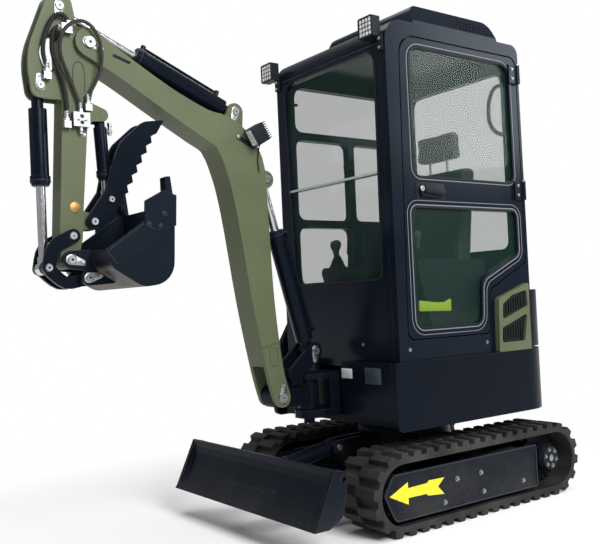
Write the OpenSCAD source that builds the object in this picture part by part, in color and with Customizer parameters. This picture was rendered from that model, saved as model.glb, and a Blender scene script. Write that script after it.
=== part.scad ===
// Mini excavator with a cab, dozer blade, swing boom and hydraulic thumb.
// X points forward, Y to the machine's left, Z up, and the ground is at the tips of the track lugs.

/* [Tracks] */
// Width over both rubber tracks
tracks_w = 1016; // [940:1:1100]
// Width of one rubber belt
belt_w = 235; // [200:1:260]
// Height of a track over the tips of its lugs
loop_h = 340; // [320:1:370]
// Thickness of the belt between its lugs
belt_t = 22; // [16:1:28]
// Height of a lug
lug_h = 22; // [14:1:28]
// Lugs in each of the two rows of a belt
lug_count = 40; // [32:1:46]
// Slew axis to the idler's axle
idler_x = 485; // [440:1:520]
// Slew axis back to the sprocket's axle
sprocket_x = 510; // [470:1:550]
// Thickness of the track frame's side plates
guard_t = 12; // [8:1:14]

/* [Dozer blade] */
// Width of the blade
blade_w = 1090; // [1000:1:1200]
// Height of the curved plate
blade_h = 214; // [190:1:260]
// Thickness of the curved plate
blade_t = 14; // [10:1:20]
// Height of the blade's lower edge as parked
blade_lift = 122; // [90:1:140]
// Slew axis to the pins that carry the blade's arms
blade_pin_x = 330; // [300:1:345]

/* [House] */
// Place of the slew axis along the machine
slew_x = -565; // [-600:1:-530]
// Height of the slew ring's lower face
ring_z = 360; // [355:1:375]
// Thickness of the slew ring
ring_t = 62; // [55:1:70]
// Outer radius of the slew ring
ring_r = 225; // [200:1:240]
// Thickness of the deck plate
deck_t = 34; // [25:1:40]
// Half of the width over the house's side panels
house_y = 457; // [452:1:470]
// Slew axis back to the tail
tail_x = 622; // [610:1:640]
// Radius of the tail's corners
tail_r = 200; // [150:1:215]
// Thickness of the counterweight's wall
weight_t = 70; // [50:1:80]
// Height of the line where the lower panels end
split_z = 700; // [680:1:705]

/* [Cab] */
// Slew axis to the cab's front face
cab_front_x = 402; // [395:1:405]
// Slew axis back to the cab's rear face
cab_rear_x = 480; // [475:1:490]
// Slew axis to the cab's left face
cab_left_y = 430; // [425:1:432]
// Slew axis to the cab's right face
cab_right_y = 384; // [370:1:420]
// Height of the cab's floor
floor_z = 790; // [770:1:795]
// Height of the cab's eaves
eaves_z = 2132; // [2100:1:2160]
// Thickness of the roof
roof_t = 52; // [40:1:60]
// Thickness of the cab's walls and door
wall_t = 38; // [34:1:42]
// Thickness of the window glass
glass_t = 6; // [4:1:8]
// Gap round the door
door_gap = 6; // [5:1:8]
// Height of the cooling unit on the roof
pod_h = 142; // [110:1:160]

/* [Boom and arm] */
// Slew axis to the king pin that the boom swings on
king_x = 575; // [565:1:585]
// Slew axis to the boom's foot pin
boom_foot_x = 761; // [750:1:775]
// Height of the boom's foot pin
boom_foot_z = 564; // [555:1:575]
// Width of the boom
boom_w = 130; // [126:1:140]
// Width of the arm
arm_w = 88; // [84:1:90]
// Diameter of the main pins
pin_d = 44; // [38:1:48]
// Diameter of the linkage pins
link_pin_d = 28; // [24:1:32]
// Thickness of the linkage plates
link_t = 12; // [10:1:13]
// Outer diameter of the boom cylinder
boom_cyl_d = 78; // [70:1:80]
// Outer diameter of the arm cylinder
arm_cyl_d = 76; // [64:1:80]
// Outer diameter of the bucket cylinder
bucket_cyl_d = 66; // [56:1:68]
// Outer diameter of the thumb cylinder
thumb_cyl_d = 50; // [44:1:54]
// Outer diameter of the blade cylinder
blade_cyl_d = 70; // [60:1:74]

/* [Bucket and thumb] */
// Width of the bucket
bucket_w = 450; // [400:1:480]
// Thickness of the bucket's shell
bucket_t = 10; // [8:1:14]
// Number of bucket teeth
tooth_count = 2; // [2:1:6]
// Length of the thumb from its pin
thumb_l = 518; // [480:1:522]
// Thickness of the thumb's jaws
jaw_t = 14; // [10:1:16]

/* [Hidden] */
$fn = 48;

// Colours of the paint, rubber and bright metal
olive = "#6f6d3c";
navy = "#20262e";
rubber = "#333537";
chrome = "#d8dade";
tinted = "#9fb8a8";
trim = "#26282b";

// Clearances of a running pin, of parts that pass, and of a seated face
fit = 0.05;
pass = 2;
seat_gap = 0.3;

// Tracks
axle_z = loop_h / 2;
belt_r = axle_z - lug_h;
wheel_r = belt_r - belt_t;
track_y = tracks_w / 2 - belt_w / 2;
inner_guard_y = tracks_w / 2 - belt_w + 18;
outer_guard_y = tracks_w / 2 - 10;
roller_r = 44;
roller_z = axle_z - wheel_r + roller_r + seat_gap;
roller_xs = [-250, -20, 210];
beam_rear_x = -sprocket_x + wheel_r + 10;
beam_front_x = idler_x - wheel_r - 8;
sprocket_teeth = 21;

// Pins of the working gear, as [x, z] from the slew axis and the ground
boom_pin = [boom_foot_x, boom_foot_z];
boom_cyl_pin = [570, 753];
boom_rod_pin = boom_pin + [22, 952];
arm_cyl_pin = boom_pin + [167, 1234];
arm_pin = boom_pin + [819, 1429];
arm_rod_pin = arm_pin + [104, 130];
bucket_cyl_pin = arm_pin + [186, -179];
idler_pin = arm_pin + [86, -735];
bucket_pin = arm_pin + [103, -825];
link_pin = arm_pin + [182, -852];
dump_pin = arm_pin + [38, -892];
thumb_pin = arm_pin + [-1, -680];
thumb_rod_pin = thumb_pin + [-71, 87];
thumb_cyl_pin = arm_pin + [-53, -265];
blade_pin = [blade_pin_x, 150];
blade_cyl_pin = [447, 305];
blade_edge = [blade_pin_x + 650, blade_lift];
blade_rod_pin = blade_edge + [-138, 116];

// Layers across the working gear, from the middle outwards
boss_y = boom_w / 2 - 23;
fork_y = boss_y + pass;
eye_w = 46;
eye_gap_y = eye_w / 2 + 3;
arm_y = arm_w / 2;
link_inner_y = eye_gap_y + 1;
link_outer_y = arm_y;
idler_inner_y = arm_y + pass;
idler_outer_y = idler_inner_y + link_t;
ear_inner_y = idler_outer_y + 4;
ear_outer_y = ear_inner_y + link_t + 2;
jaw_inner_y = 34;
jaw_outer_y = jaw_inner_y + jaw_t;
lug_y = eye_gap_y + 17;
head_t = 9;

// Heights and places of the house
deck_z = ring_z + ring_t;
deck_top = deck_z + deck_t;
panel_t = house_y - cab_left_y - seat_gap;
skirt_z = deck_z - 12;
skirt_rear_x = -330;
cowl_x = 455;
nose_low_top = deck_top + 36;
nose_high_z = deck_top + 170;
nose_high_top = nose_high_z + 26;
nose_r = 58;
hood_top = 985;
hood_axis = [-cab_rear_x - 22, hood_top + 8];
hood_front_x = -444;
hinge_ys = [-200, 200];
hinge_pin_r = 5;
knuckle_w = 70;
door_axis = [-cab_rear_x + 24, cab_left_y + 13];

// Outline helpers: points are [x, z, radius]
function unit(v) = v / norm(v);
function flat(p) = [p.x, p.y];
function arc(c, r, from, turn, n) =
    [for (i = [0:n]) c + r * [cos(from + turn * i / n), sin(from + turn * i / n)]];
function fillet(p, q, s, r, n) =
    let (a = unit(p - q),
        b = unit(s - q),
        half = acos(a * b) / 2,
        c = q + unit(a + b) * r / sin(half),
        u = q + a * r / tan(half) - c,
        v = q + b * r / tan(half) - c,
        from = atan2(u.y, u.x),
        turn = (atan2(v.y, v.x) - from + 540) % 360 - 180)
    arc(c, r, from, turn, n);
function rounded(pts, n = 5) =
    let (m = len(pts))
    [for (i = [0:m - 1])
        let (p = flat(pts[(i + m - 1) % m]), q = flat(pts[i]), s = flat(pts[(i + 1) % m]))
        each pts[i].z > 0 ? fillet(p, q, s, pts[i].z, n) : [q]];
function catmull(a, b, c, d, t) =
    0.5 * (2 * b + (c - a) * t + (2 * a - 5 * b + 4 * c - d) * t * t + (3 * b - a - 3 * c + d) * t * t * t);
function sampled(pts, n) =
    let (last = len(pts) - 1)
    concat(
        [for (i = [0:last - 1]) for (k = [0:n - 1])
            catmull(pts[max(i - 1, 0)], pts[i], pts[i + 1], pts[min(i + 2, last)], k / n)],
        [pts[last]]);
function heading(line, i) =
    unit(flat(line[min(i + 1, len(line) - 1)]) - flat(line[max(i - 1, 0)]));
function ribbon(pts, n = 4, cap = 8) =
    let (line = sampled(pts, n),
        last = len(line) - 1,
        h = [for (i = [0:last]) heading(line, i)],
        end_from = atan2(h[last].y, h[last].x) - 90,
        start_from = atan2(h[0].y, h[0].x) + 90)
    concat(
        [for (i = [0:last - 1]) flat(line[i]) + line[i].z * [h[i].y, -h[i].x]],
        arc(flat(line[last]), line[last].z, end_from, 180, cap),
        [for (i = [last - 1:-1:1]) flat(line[i]) - line[i].z * [h[i].y, -h[i].x]],
        arc(flat(line[0]), line[0].z, start_from, 180, cap));
function at(p, r) = [p.x, p.y, r];

// Everything is drawn from the slew axis and set at its place here
module place() {
    translate([slew_x, 0, 0]) children();
}

// A side view outline made into a slab that is w wide about y
module slab(w, y = 0) {
    translate([0, y, 0]) rotate([90, 0, 0]) linear_extrude(w, center = true) children();
}

// A slab between two distances on the left, and the same on the right
module both_slabs(inner, outer) {
    for (side = [-1, 1]) slab(outer - inner, side * (inner + outer) / 2) children();
}

module cross_pin(p, r, half) {
    translate([p.x, 0, p.y]) rotate([90, 0, 0]) cylinder(h = 2 * half, r = r, center = true);
}

module both_sides() {
    children();
    mirror([0, 1, 0]) children();
}

// Heads and stubs of a pin that doesn't cross the gap between two lugs
module stub_pins(p, r, inner, outer) {
    for (side = [-1, 1])
        translate([p.x, side * (inner + outer) / 2, p.y]) rotate([90, 0, 0])
            cylinder(h = outer - inner, r = r, center = true);
}

module along(p, q) {
    translate([p.x, 0, p.y]) rotate([0, -atan2(q.y - p.y, q.x - p.x), 0]) children();
}

module lying(r, from, to) {
    translate([from, 0, 0]) rotate([0, 90, 0]) cylinder(h = to - from, r = r);
}

// Cylinder barrel from its eye at p towards q, with a bore for the rod
module barrel(p, q, d, rod_d, pin_r, start, end, pipe = 0, pipe_turn = 0) {
    eye_r = pin_r + 13;
    along(p, q) difference() {
        union() {
            rotate([90, 0, 0]) cylinder(h = eye_w, r = eye_r, center = true);
            lying(eye_r * 0.8, 0, start + 4);
            lying(d / 2, start, end);
            lying(d / 2 + 4, end - 34, end - 8);
            if (pipe > 0) rotate([pipe_turn, 0, 0]) {
                translate([0, 0, d / 2 + 12]) lying(pipe, start + 44, end - 21);
                for (x = [start + 44, end - 21])
                    translate([x, 0, d / 2 - 8]) cylinder(h = 30, r = 10);
            }
        }
        rotate([90, 0, 0]) cylinder(h = eye_w + 8, r = pin_r + fit, center = true);
        lying(rod_d / 2 + fit, start + 14, end + 1);
    }
}

// Piston rod that ends in an eye at q
module rod(p, q, rod_d, pin_r, length) {
    reach = norm(q - p);
    eye_r = pin_r + 12;
    along(p, q) difference() {
        union() {
            lying(rod_d / 2, reach - length, reach - pin_r - 4);
            lying(rod_d / 2 + 5, reach - eye_r - 16, reach - pin_r - 4);
            translate([reach, 0, 0]) rotate([90, 0, 0]) cylinder(h = eye_w, r = eye_r, center = true);
        }
        translate([reach, 0, 0]) rotate([90, 0, 0]) cylinder(h = eye_w + 8, r = pin_r + 1, center = true);
    }
}

// Undercarriage
tube_ys = tracks_w / 2 - belt_w + 18;
module carbody() {
    lug_in = blade_arm_y - blade_arm_t / 2 - pass;
    lug_out = blade_arm_y + blade_arm_t / 2 + pass;
    tie_x = -352;
    tie_y = 129;
    color(navy) place() difference() {
        union() {
            translate([0, 0, 178]) cylinder(h = ring_z - 178, r1 = tube_ys - 41, r2 = ring_r - 4);
            for (x = [-215, 150])
                translate([x, -tube_ys, 152]) cube([110, 2 * tube_ys, 92]);
            slab(380) polygon(rounded([[-290, 172, 20], [300, 172, 20], [300, 236, 20], [-290, 236, 20]]));
            for (y = [lug_in - 8, lug_out + 8])
                both_slabs(y - 8, y + 8) polygon(ribbon([[230, 200, 34], at(blade_pin, 34)]));
            both_slabs(eye_gap_y, lug_y)
                polygon(ribbon([[190, 300, 42], [350, 300, 38], at(blade_cyl_pin, 30)]));
            both_sides() translate([0, 0, 196]) linear_extrude(18)
                polygon(ribbon([[-260, tie_y, 30], [tie_x, tie_y, 30]]));
            both_sides() translate([0, blade_arm_y, 0])
                cross_pin(blade_pin, pin_d / 2 - 4, blade_arm_t / 2 + 18 + head_t);
            cross_pin(blade_cyl_pin, link_pin_d / 2, lug_y + head_t);
        }
        both_sides() translate([tie_x, tie_y, 190]) cylinder(h = 30, d = tie_bore_d);
    }
}
blade_arm_y = tube_ys - 121;
blade_arm_t = 44;
tie_bore_d = 32;

guard_front = [[idler_x + 50, axle_z - 104, 30], [idler_x + 108, axle_z + 10, 20],
    [idler_x + 56, axle_z + 88, 30]];
module track_frame() {
    beam_z = [146, 228];
    pad_top = axle_z + wheel_r - seat_gap;
    outer = rounded(concat([[beam_rear_x, 62, 10]], guard_front, [[beam_rear_x, 256, 10]]));
    inner = rounded(concat([[-sprocket_x - 40, 98, 40], [beam_rear_x, 62, 20]], guard_front,
        [[beam_rear_x, 256, 20], [-sprocket_x - 40, 242, 40]]));
    color(navy) place() {
        slab(guard_t, outer_guard_y - guard_t / 2) polygon(outer);
        slab(guard_t, inner_guard_y + guard_t / 2) polygon(inner);
        translate([beam_rear_x, inner_guard_y + guard_t, beam_z[0]])
            cube([beam_front_x - beam_rear_x, outer_guard_y - inner_guard_y - 2 * guard_t,
                beam_z[1] - beam_z[0]]);
        translate([-90, track_y - 30, beam_z[1] - 1])
            cube([150, 60, pad_top - beam_z[1] + 1]);
    }
}
module track_frame_left() { track_frame(); }
module track_frame_right() { mirror([0, 1, 0]) track_frame(); }

// Point of the belt's outline at a length s along it, h above the belt, from the front of the lower run
run_l = idler_x + sprocket_x;
loop_l = 2 * run_l + 2 * PI * belt_r;
function loop_point(s, h) =
    let (t = (s % loop_l + loop_l) % loop_l,
        r = belt_r + h,
        half = PI * belt_r)
    t < run_l ? [idler_x - t, axle_z - r]
    : t < run_l + half ?
        let (a = (t - run_l) / half * 180)
        [-sprocket_x, axle_z] - r * [sin(a), cos(a)]
    : t < 2 * run_l + half ? [-sprocket_x + t - run_l - half, axle_z + r]
    : let (b = (t - 2 * run_l - half) / half * 180)
        [idler_x, axle_z] + r * [sin(b), cos(b)];
lug_base = 46;
lug_tip = 32;
function lug_row(shift) =
    [for (i = [0:lug_count - 1])
        let (s = (i + shift) * loop_l / lug_count)
        each [loop_point(s - lug_base / 2, 0), loop_point(s - lug_tip / 2, lug_h),
            loop_point(s + lug_tip / 2, lug_h), loop_point(s + lug_base / 2, 0)]];
wheel_path = concat(
    arc([idler_x, axle_z], wheel_r, -90, 180, 24),
    arc([-sprocket_x, axle_z], wheel_r, 90, 180, 24));
module belt_row(shift, y) {
    slab(belt_w / 2, y) difference() {
        polygon(lug_row(shift));
        polygon(wheel_path);
    }
}
module track() {
    color(rubber) place() {
        belt_row(0, track_y - belt_w / 4);
        belt_row(0.5, track_y + belt_w / 4);
    }
}
module track_left() { track(); }
module track_right() { mirror([0, 1, 0]) track(); }

module sprocket() {
    motor_r = 72;
    cover_r = 66;
    disc_t = 30;
    tip_r = wheel_r - seat_gap;
    root_r = tip_r - 16;
    pitch = 360 / sprocket_teeth;
    tooth = [[-0.34, root_r], [-0.16, tip_r], [0.16, tip_r], [0.34, root_r]];
    teeth = [for (i = [0:sprocket_teeth - 1]) for (k = tooth)
        [-sprocket_x, axle_z] + k[1] * [cos((i + k[0]) * pitch), sin((i + k[0]) * pitch)]];
    hub = [[0, inner_guard_y + guard_t], [motor_r, inner_guard_y + guard_t], [motor_r, track_y],
        [cover_r, track_y + disc_t / 2], [cover_r, outer_guard_y - 42], [cover_r - 12, outer_guard_y - 22],
        [0, outer_guard_y - 22]];
    color(navy) place() {
        slab(disc_t, track_y) polygon(teeth);
        translate([-sprocket_x, 0, axle_z]) rotate([-90, 0, 0]) rotate_extrude() polygon(hub);
    }
}
module sprocket_left() { sprocket(); }
module sprocket_right() { mirror([0, 1, 0]) sprocket(); }

// A wheel that turns about Y: half outlines are [radius, y]
module spool(x, z, outline) {
    translate([x, 0, z]) rotate([-90, 0, 0]) rotate_extrude() polygon(outline);
}
module rollers() {
    y0 = inner_guard_y + guard_t;
    y1 = outer_guard_y - guard_t;
    idler_r = wheel_r - seat_gap;
    rim = 26;
    hub = 52;
    color(trim) place() {
        spool(idler_x, axle_z, [[0, y0], [20, y0], [20, track_y - hub], [42, track_y - hub],
            [42, track_y - rim + 8], [idler_r - 26, track_y - rim + 8],
            [idler_r - 18, track_y - rim], [idler_r, track_y - rim], [idler_r, track_y + rim],
            [idler_r - 18, track_y + rim], [idler_r - 26, track_y + rim - 8],
            [42, track_y + rim - 8], [42, track_y + hub], [20, track_y + hub], [20, y1], [0, y1]]);
        for (x = roller_xs)
            spool(x, roller_z, [[0, y0], [16, y0], [16, track_y - 62], [roller_r, track_y - 62],
                [roller_r, track_y - 30], [roller_r - 12, track_y - 24], [roller_r - 12, track_y + 24],
                [roller_r, track_y + 30], [roller_r, track_y + 62], [16, track_y + 62], [16, y1], [0, y1]]);
    }
}
module rollers_left() { rollers(); }
module rollers_right() { mirror([0, 1, 0]) rollers(); }

module slew_ring() {
    color(trim) place() translate([0, 0, ring_z]) difference() {
        union() {
            cylinder(h = ring_t, r = ring_r - 12);
            translate([0, 0, 10]) cylinder(h = ring_t - 24, r = ring_r);
        }
        translate([0, 0, -1]) cylinder(h = ring_t + 2, r = ring_r - 90);
    }
}

// Dozer blade
blade_back = blade_edge + [-104, blade_h - 25];
module blade() {
    top = blade_edge + [-104, blade_h];
    face = [for (i = [0:8])
        let (t = i / 8)
        blade_edge + [-104 * t - 62 * t * (1 - t) * 1.6, blade_h * t]];
    rear = [for (i = [8:-1:0])
        let (t = i / 8)
        blade_edge + [-104 * t - 62 * t * (1 - t) * 1.6 - blade_t, blade_h * t]];
    arm_end = blade_edge + [-95, 70];
    stay = 20;
    color(navy) place() difference() {
        union() {
            slab(blade_w) polygon(concat(face, rear));
            both_slabs(blade_w / 2 - stay, blade_w / 2)
                polygon(rounded([at(blade_edge + [-4, 0], 4), at(top + [-2, 0], 4),
                    at(top + [-68, -14], 24), at(blade_edge + [-140, 36], 40),
                    at(blade_edge + [-70, 0], 10)]));
            slab(2 * blade_arm_y + blade_arm_t)
                polygon(rounded([at(blade_edge + [-120, 32], 8), at(blade_edge + [-60, 32], 4),
                    at(blade_edge + [-60, 82], 4), at(blade_edge + [-120, 82], 8)]));
            both_slabs(blade_arm_y - blade_arm_t / 2, blade_arm_y + blade_arm_t / 2)
                polygon(ribbon([at(blade_pin, 32), at(blade_pin + [220, -14], 30), at(arm_end, 36)]));
            both_slabs(eye_gap_y, lug_y)
                polygon(ribbon([at(blade_rod_pin, 30), at(blade_rod_pin + [24, -8], 34)]));
            stub_pins(blade_rod_pin, link_pin_d / 2, eye_gap_y + 1, lug_y + head_t);
        }
        both_sides() translate([0, blade_arm_y, 0])
            cross_pin(blade_pin, pin_d / 2 - 4 + fit, blade_arm_t / 2 + 1);
        both_sides() translate([0, blade_w / 2, 0]) cross_pin(top + [-40, -38], tie_bore_d / 2, stay + 1);
    }
}
module blade_barrel() {
    color(navy) place() barrel(blade_cyl_pin, blade_rod_pin, blade_cyl_d, 36, link_pin_d / 2, 44, 290);
}
module blade_rod() {
    color(chrome) place() rod(blade_cyl_pin, blade_rod_pin, 36, link_pin_d / 2, 240);
}

// House
function tail_plan(inset, front) =
    rounded([[front, -house_y + inset, 0], [front, house_y - inset, 0],
        [-tail_x + inset, house_y - inset, tail_r - inset],
        [-tail_x + inset, -house_y + inset, tail_r - inset]], 12);
module deck() {
    web_w = 150;
    front_x = cowl_x - panel_t - 8;
    color(navy) place() difference() {
        union() {
            translate([0, 0, deck_z]) linear_extrude(deck_t)
                polygon(rounded(concat(
                    [[front_x, -house_y + panel_t, 40], [front_x, house_y - panel_t, 40]],
                    [[skirt_rear_x, house_y - panel_t, 0], [skirt_rear_x, house_y - weight_t - seat_gap, 0],
                     [-tail_x + weight_t + seat_gap, house_y - weight_t - seat_gap, tail_r - weight_t],
                     [-tail_x + weight_t + seat_gap, -house_y + weight_t + seat_gap, tail_r - weight_t],
                     [skirt_rear_x, -house_y + weight_t + seat_gap, 0],
                     [skirt_rear_x, -house_y + panel_t, 0]])));
            translate([0, 0, deck_top - 1]) linear_extrude(nose_low_top - deck_top + 1) nose_plan(web_w);
            translate([0, 0, nose_high_z]) linear_extrude(nose_high_top - nose_high_z) nose_plan(web_w);
            translate([260, -web_w / 2, deck_top - 1])
                cube([king_x - nose_r - 12 - 260, web_w, nose_high_top - deck_top + 1]);
        }
        translate([king_x, 0, deck_z + 6]) cylinder(h = nose_high_top, r = king_r + fit);
    }
}
king_r = 25;
module nose_plan(w) {
    polygon(rounded([[260, -w / 2, 0], [king_x - 30, -w / 2, 40], [king_x + nose_r, -42, 36],
        [king_x + nose_r, 42, 36], [king_x - 30, w / 2, 40], [260, w / 2, 0]]));
}
module side_skirts() {
    top_right = 880;
    color(navy) place() {
        slab(panel_t, house_y - panel_t / 2)
            polygon(rounded([[skirt_rear_x + 1, skirt_z, 4], [cowl_x - 1, skirt_z, 30],
                [cowl_x - 1, split_z, 6], [skirt_rear_x + 1, split_z, 4]]));
        slab(panel_t, -house_y + panel_t / 2)
            polygon(rounded([[skirt_rear_x + 1, skirt_z, 4], [cowl_x - 1, skirt_z, 30],
                [cowl_x - 1, split_z, 20], [cab_front_x - 60, top_right, 40], [-196, top_right, 20],
                [-196, split_z, 0], [skirt_rear_x + 1, split_z, 4]]));
    }
}
module front_cowl() {
    half = house_y - panel_t - seat_gap;
    hole_d = 9;
    color(navy) place() difference() {
        translate([cowl_x - panel_t, -half, deck_top]) cube([panel_t, 2 * half, split_z - deck_top - 2]);
        translate([cowl_x - panel_t - 1, -95, deck_top - 1]) cube([panel_t + 2, 190, split_z]);
        for (i = [0:5]) for (k = [0:4])
            translate([cowl_x - panel_t - 1, 130 + i * 18 + (k % 2) * 9, deck_top + 40 + k * 16])
                rotate([0, 90, 0]) cylinder(h = panel_t + 2, d = hole_d, $fn = 16);
    }
}
module counterweight() {
    color(navy) place() translate([0, 0, skirt_z]) linear_extrude(split_z - skirt_z) difference() {
        polygon(tail_plan(0, skirt_rear_x - 1));
        polygon(tail_plan(weight_t, skirt_rear_x + 10));
    }
}
module engine() {
    color(trim) place() translate([-tail_x + weight_t + 40, -210, deck_top])
        cube([300, 420, split_z - deck_top - 12]);
}
grille_low = split_z + seat_gap;
function vent_high(in) =
    rounded([[-238 - in, 848 + in, 10], [-244 - in, 922 - in, 16], [-312, 962 - in, 20],
        [-420 + in, 984 - in, 10], [-424 + in, 908 + in, 10]]);
function vent_low(in) =
    rounded([[-228 - in, 742 + in, 10], [-233 - in, 812 - in, 10], [-418 + in, 872 - in, 10],
        [-392 + in, 742 + in, 10]]);
module side_grille() {
    color(olive) place() slab(panel_t, house_y - panel_t / 2) difference() {
        polygon(rounded([[-206, grille_low, 4], [-216, 950, 20], [hood_front_x + 6, 1020, 10],
            [hood_front_x + 6, grille_low, 4]]));
        polygon(vent_high(0));
        polygon(vent_low(0));
    }
}
module side_grilles() {
    side_grille();
    mirror([0, 1, 0]) side_grille();
}
module mesh_slots() {
    slot = 8;
    for (i = [0:7])
        let (x = -256 - i * 18, z = 848 - (x + 238) * 0.32, h = min(58, 18 + i * 7 + 36))
        translate([x - slot, z + 12]) square([slot, h]);
    for (i = [0:7])
        let (x = -246 - i * 18)
        translate([x - slot, 754]) square([slot, 46 - (x + 246) * 0.32]);
}
module grille_mesh() {
    t = 6;
    color(trim) place() both_sides() slab(t, house_y - 16) difference() {
        union() {
            polygon(vent_high(seat_gap));
            polygon(vent_low(seat_gap));
        }
        mesh_slots();
    }
}

// Cab: flat walls that meet at the corners, each with its windows cut
in_x0 = -cab_rear_x + wall_t;
in_x1 = cab_front_x - wall_t;
in_y0 = -cab_right_y + wall_t;
in_y1 = cab_left_y - wall_t;
screen_split = 1522;
sill_z = split_z - 30;
roof_top = eaves_z + roof_t;
brow_r = 100;
rear_r = roof_t - 4;
header_z = roof_top - brow_r - 4;
module upright(x) {
    translate([x - wall_t, 0, 0]) rotate([90, 0, 90]) linear_extrude(wall_t) children();
}
screen_bar = 4;
screen_low = rounded([[-285, 1062, 30], [338, 1062, 30], [350, screen_split - screen_bar, 0],
    [-312, screen_split - screen_bar, 0]]);
screen_high = rounded([[-312, screen_split + screen_bar, 0], [350, screen_split + screen_bar, 0],
    [352, header_z - 22, 60], [-318, header_z - 22, 60]]);
module cab_front() {
    color(navy) place() upright(cab_front_x) difference() {
        polygon([[in_y0, sill_z], [in_y1, sill_z], [in_y1, header_z], [in_y0, header_z]]);
        polygon(screen_low);
        polygon(screen_high);
    }
}
function rear_pane() = rounded([[-300, 1190, 40], [346, 1190, 40], [346, 2070, 60], [-300, 2070, 60]]);
module cab_rear() {
    color(navy) place() {
        upright(-cab_rear_x + wall_t) difference() {
            polygon([[in_y0, split_z + 2], [in_y1, split_z + 2], [in_y1, eaves_z], [in_y0, eaves_z]]);
            polygon(rear_pane());
        }
        for (y = hinge_ys) {
            for (side = [-1, 1])
                slab(6, y + side * (knuckle_w / 2 + 4))
                    polygon(ribbon([at(hood_axis, 7), [-cab_rear_x + 1, hood_axis.y, 7]]));
            translate([hood_axis.x, y, hood_axis.y]) rotate([90, 0, 0])
                cylinder(h = knuckle_w + 20, r = hinge_pin_r, center = true);
        }
    }
}
function right_panes() = [
    rounded([[-400, 1840, 40], [322, 1840, 40], [322, 2070, 60], [-400, 2070, 60]]),
    rounded([[-400, 1390, 40], [-60, 1390, 30], [-60, 1800, 30], [-400, 1800, 40]]),
    rounded([[-20, 1390, 30], [322, 1390, 40], [322, 1800, 40], [-20, 1800, 30]]),
    rounded([[-20, 1000, 40], [322, 1000, 40], [322, 1350, 40], [-20, 1350, 40]])];
module cab_right() {
    color(navy) place() slab(wall_t, -cab_right_y + wall_t / 2) difference() {
        polygon(rounded([[-cab_rear_x, split_z + 2, 0], [cab_front_x, split_z + 2, 0],
            [cab_front_x, roof_top, brow_r], [-cab_rear_x, roof_top, rear_r]], 10));
        for (pane = right_panes()) polygon(pane);
    }
}
// Outline of the door, grown by g
function door_plan(g) =
    rounded([[346 + g, floor_z + 2 - g, 40], [-178 - g, floor_z + 2 - g, 30], [-180 - g, 990 - g, 60],
        [-cab_rear_x + 22 - g, 1122 - g, 30], [-cab_rear_x + 22 - g, eaves_z - 14 + g, 50],
        [318 + g, eaves_z - 14 + g, 90]], 6);
module cab_left() {
    color(navy) place() slab(wall_t, cab_left_y - wall_t / 2) difference() {
        polygon(rounded([[-cab_rear_x, split_z + 2, 0], [skirt_rear_x + 8, split_z + 2, 0],
            [skirt_rear_x + 8, sill_z, 0], [cab_front_x, sill_z, 0], [cab_front_x, roof_top, brow_r],
            [-cab_rear_x, roof_top, rear_r]], 10));
        polygon(door_plan(door_gap));
    }
}
module cab_roof() {
    color(navy) place() slab(in_y1 - in_y0, (in_y0 + in_y1) / 2)
        polygon(rounded([[-cab_rear_x, eaves_z, 0], [in_x1, eaves_z, 0], [in_x1, header_z, 0],
            [cab_front_x, header_z, 0], [cab_front_x, roof_top, brow_r],
            [-cab_rear_x, roof_top, rear_r]], 10));
}
module cab_floor() {
    color(trim) place() translate([in_x0, in_y0, floor_z - 40])
        cube([in_x1 - in_x0, in_y1 - in_y0, 40]);
}
// Panes fill the windows that are cut in their walls
module cab_glass() {
    inset = 12;
    color(tinted) place() {
        translate([cab_front_x - inset - glass_t, 0, 0]) rotate([90, 0, 90]) linear_extrude(glass_t) {
            polygon(screen_low);
            polygon(screen_high);
        }
        translate([-cab_rear_x + inset, 0, 0]) rotate([90, 0, 90]) linear_extrude(glass_t)
            polygon(rear_pane());
        slab(glass_t, -cab_right_y + inset) for (pane = right_panes()) polygon(pane);
    }
}
module roof_unit() {
    low = roof_top;
    top = roof_top + pod_h;
    right_y = -304;
    left_y = 338;
    lean = 24;
    hole_d = 12;
    color(navy) place() difference() {
        slab(left_y - right_y, (left_y + right_y) / 2)
            polygon(rounded([[-452, low, 0], [150, low, 0], [116, top, 46], [-424, top, 60]], 8));
        translate([-500, left_y, low + pod_h * 0.4]) rotate([lean, 0, 0]) {
            cube([1000, 200, 300]);
            for (i = [0:10]) for (k = [0:2])
                translate([90 + i * 22 + (k % 2) * 11, 0, 16 + k * 20]) rotate([90, 0, 0])
                    cylinder(h = 24, d = hole_d, center = true, $fn = 12);
        }
        translate([-500, right_y, low + pod_h * 0.4]) rotate([-lean, 0, 0])
            translate([0, -200, 0]) cube([1000, 200, 300]);
    }
}
module cab_lamps() {
    size = [44, 88, 88];
    bracket_z = 2040;
    color(trim) place() for (p = [[-392, 2136, -366], [368, 2144, 408]]) {
        translate([cab_front_x + 8, p[0] - size.y / 2, p[1] - size.z / 2]) cube(size);
        translate([cab_front_x + seat_gap, p[2] - 12, bracket_z])
            cube([14, 24, p[1] - size.z / 2 + 10 - bracket_z]);
    }
}

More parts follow.
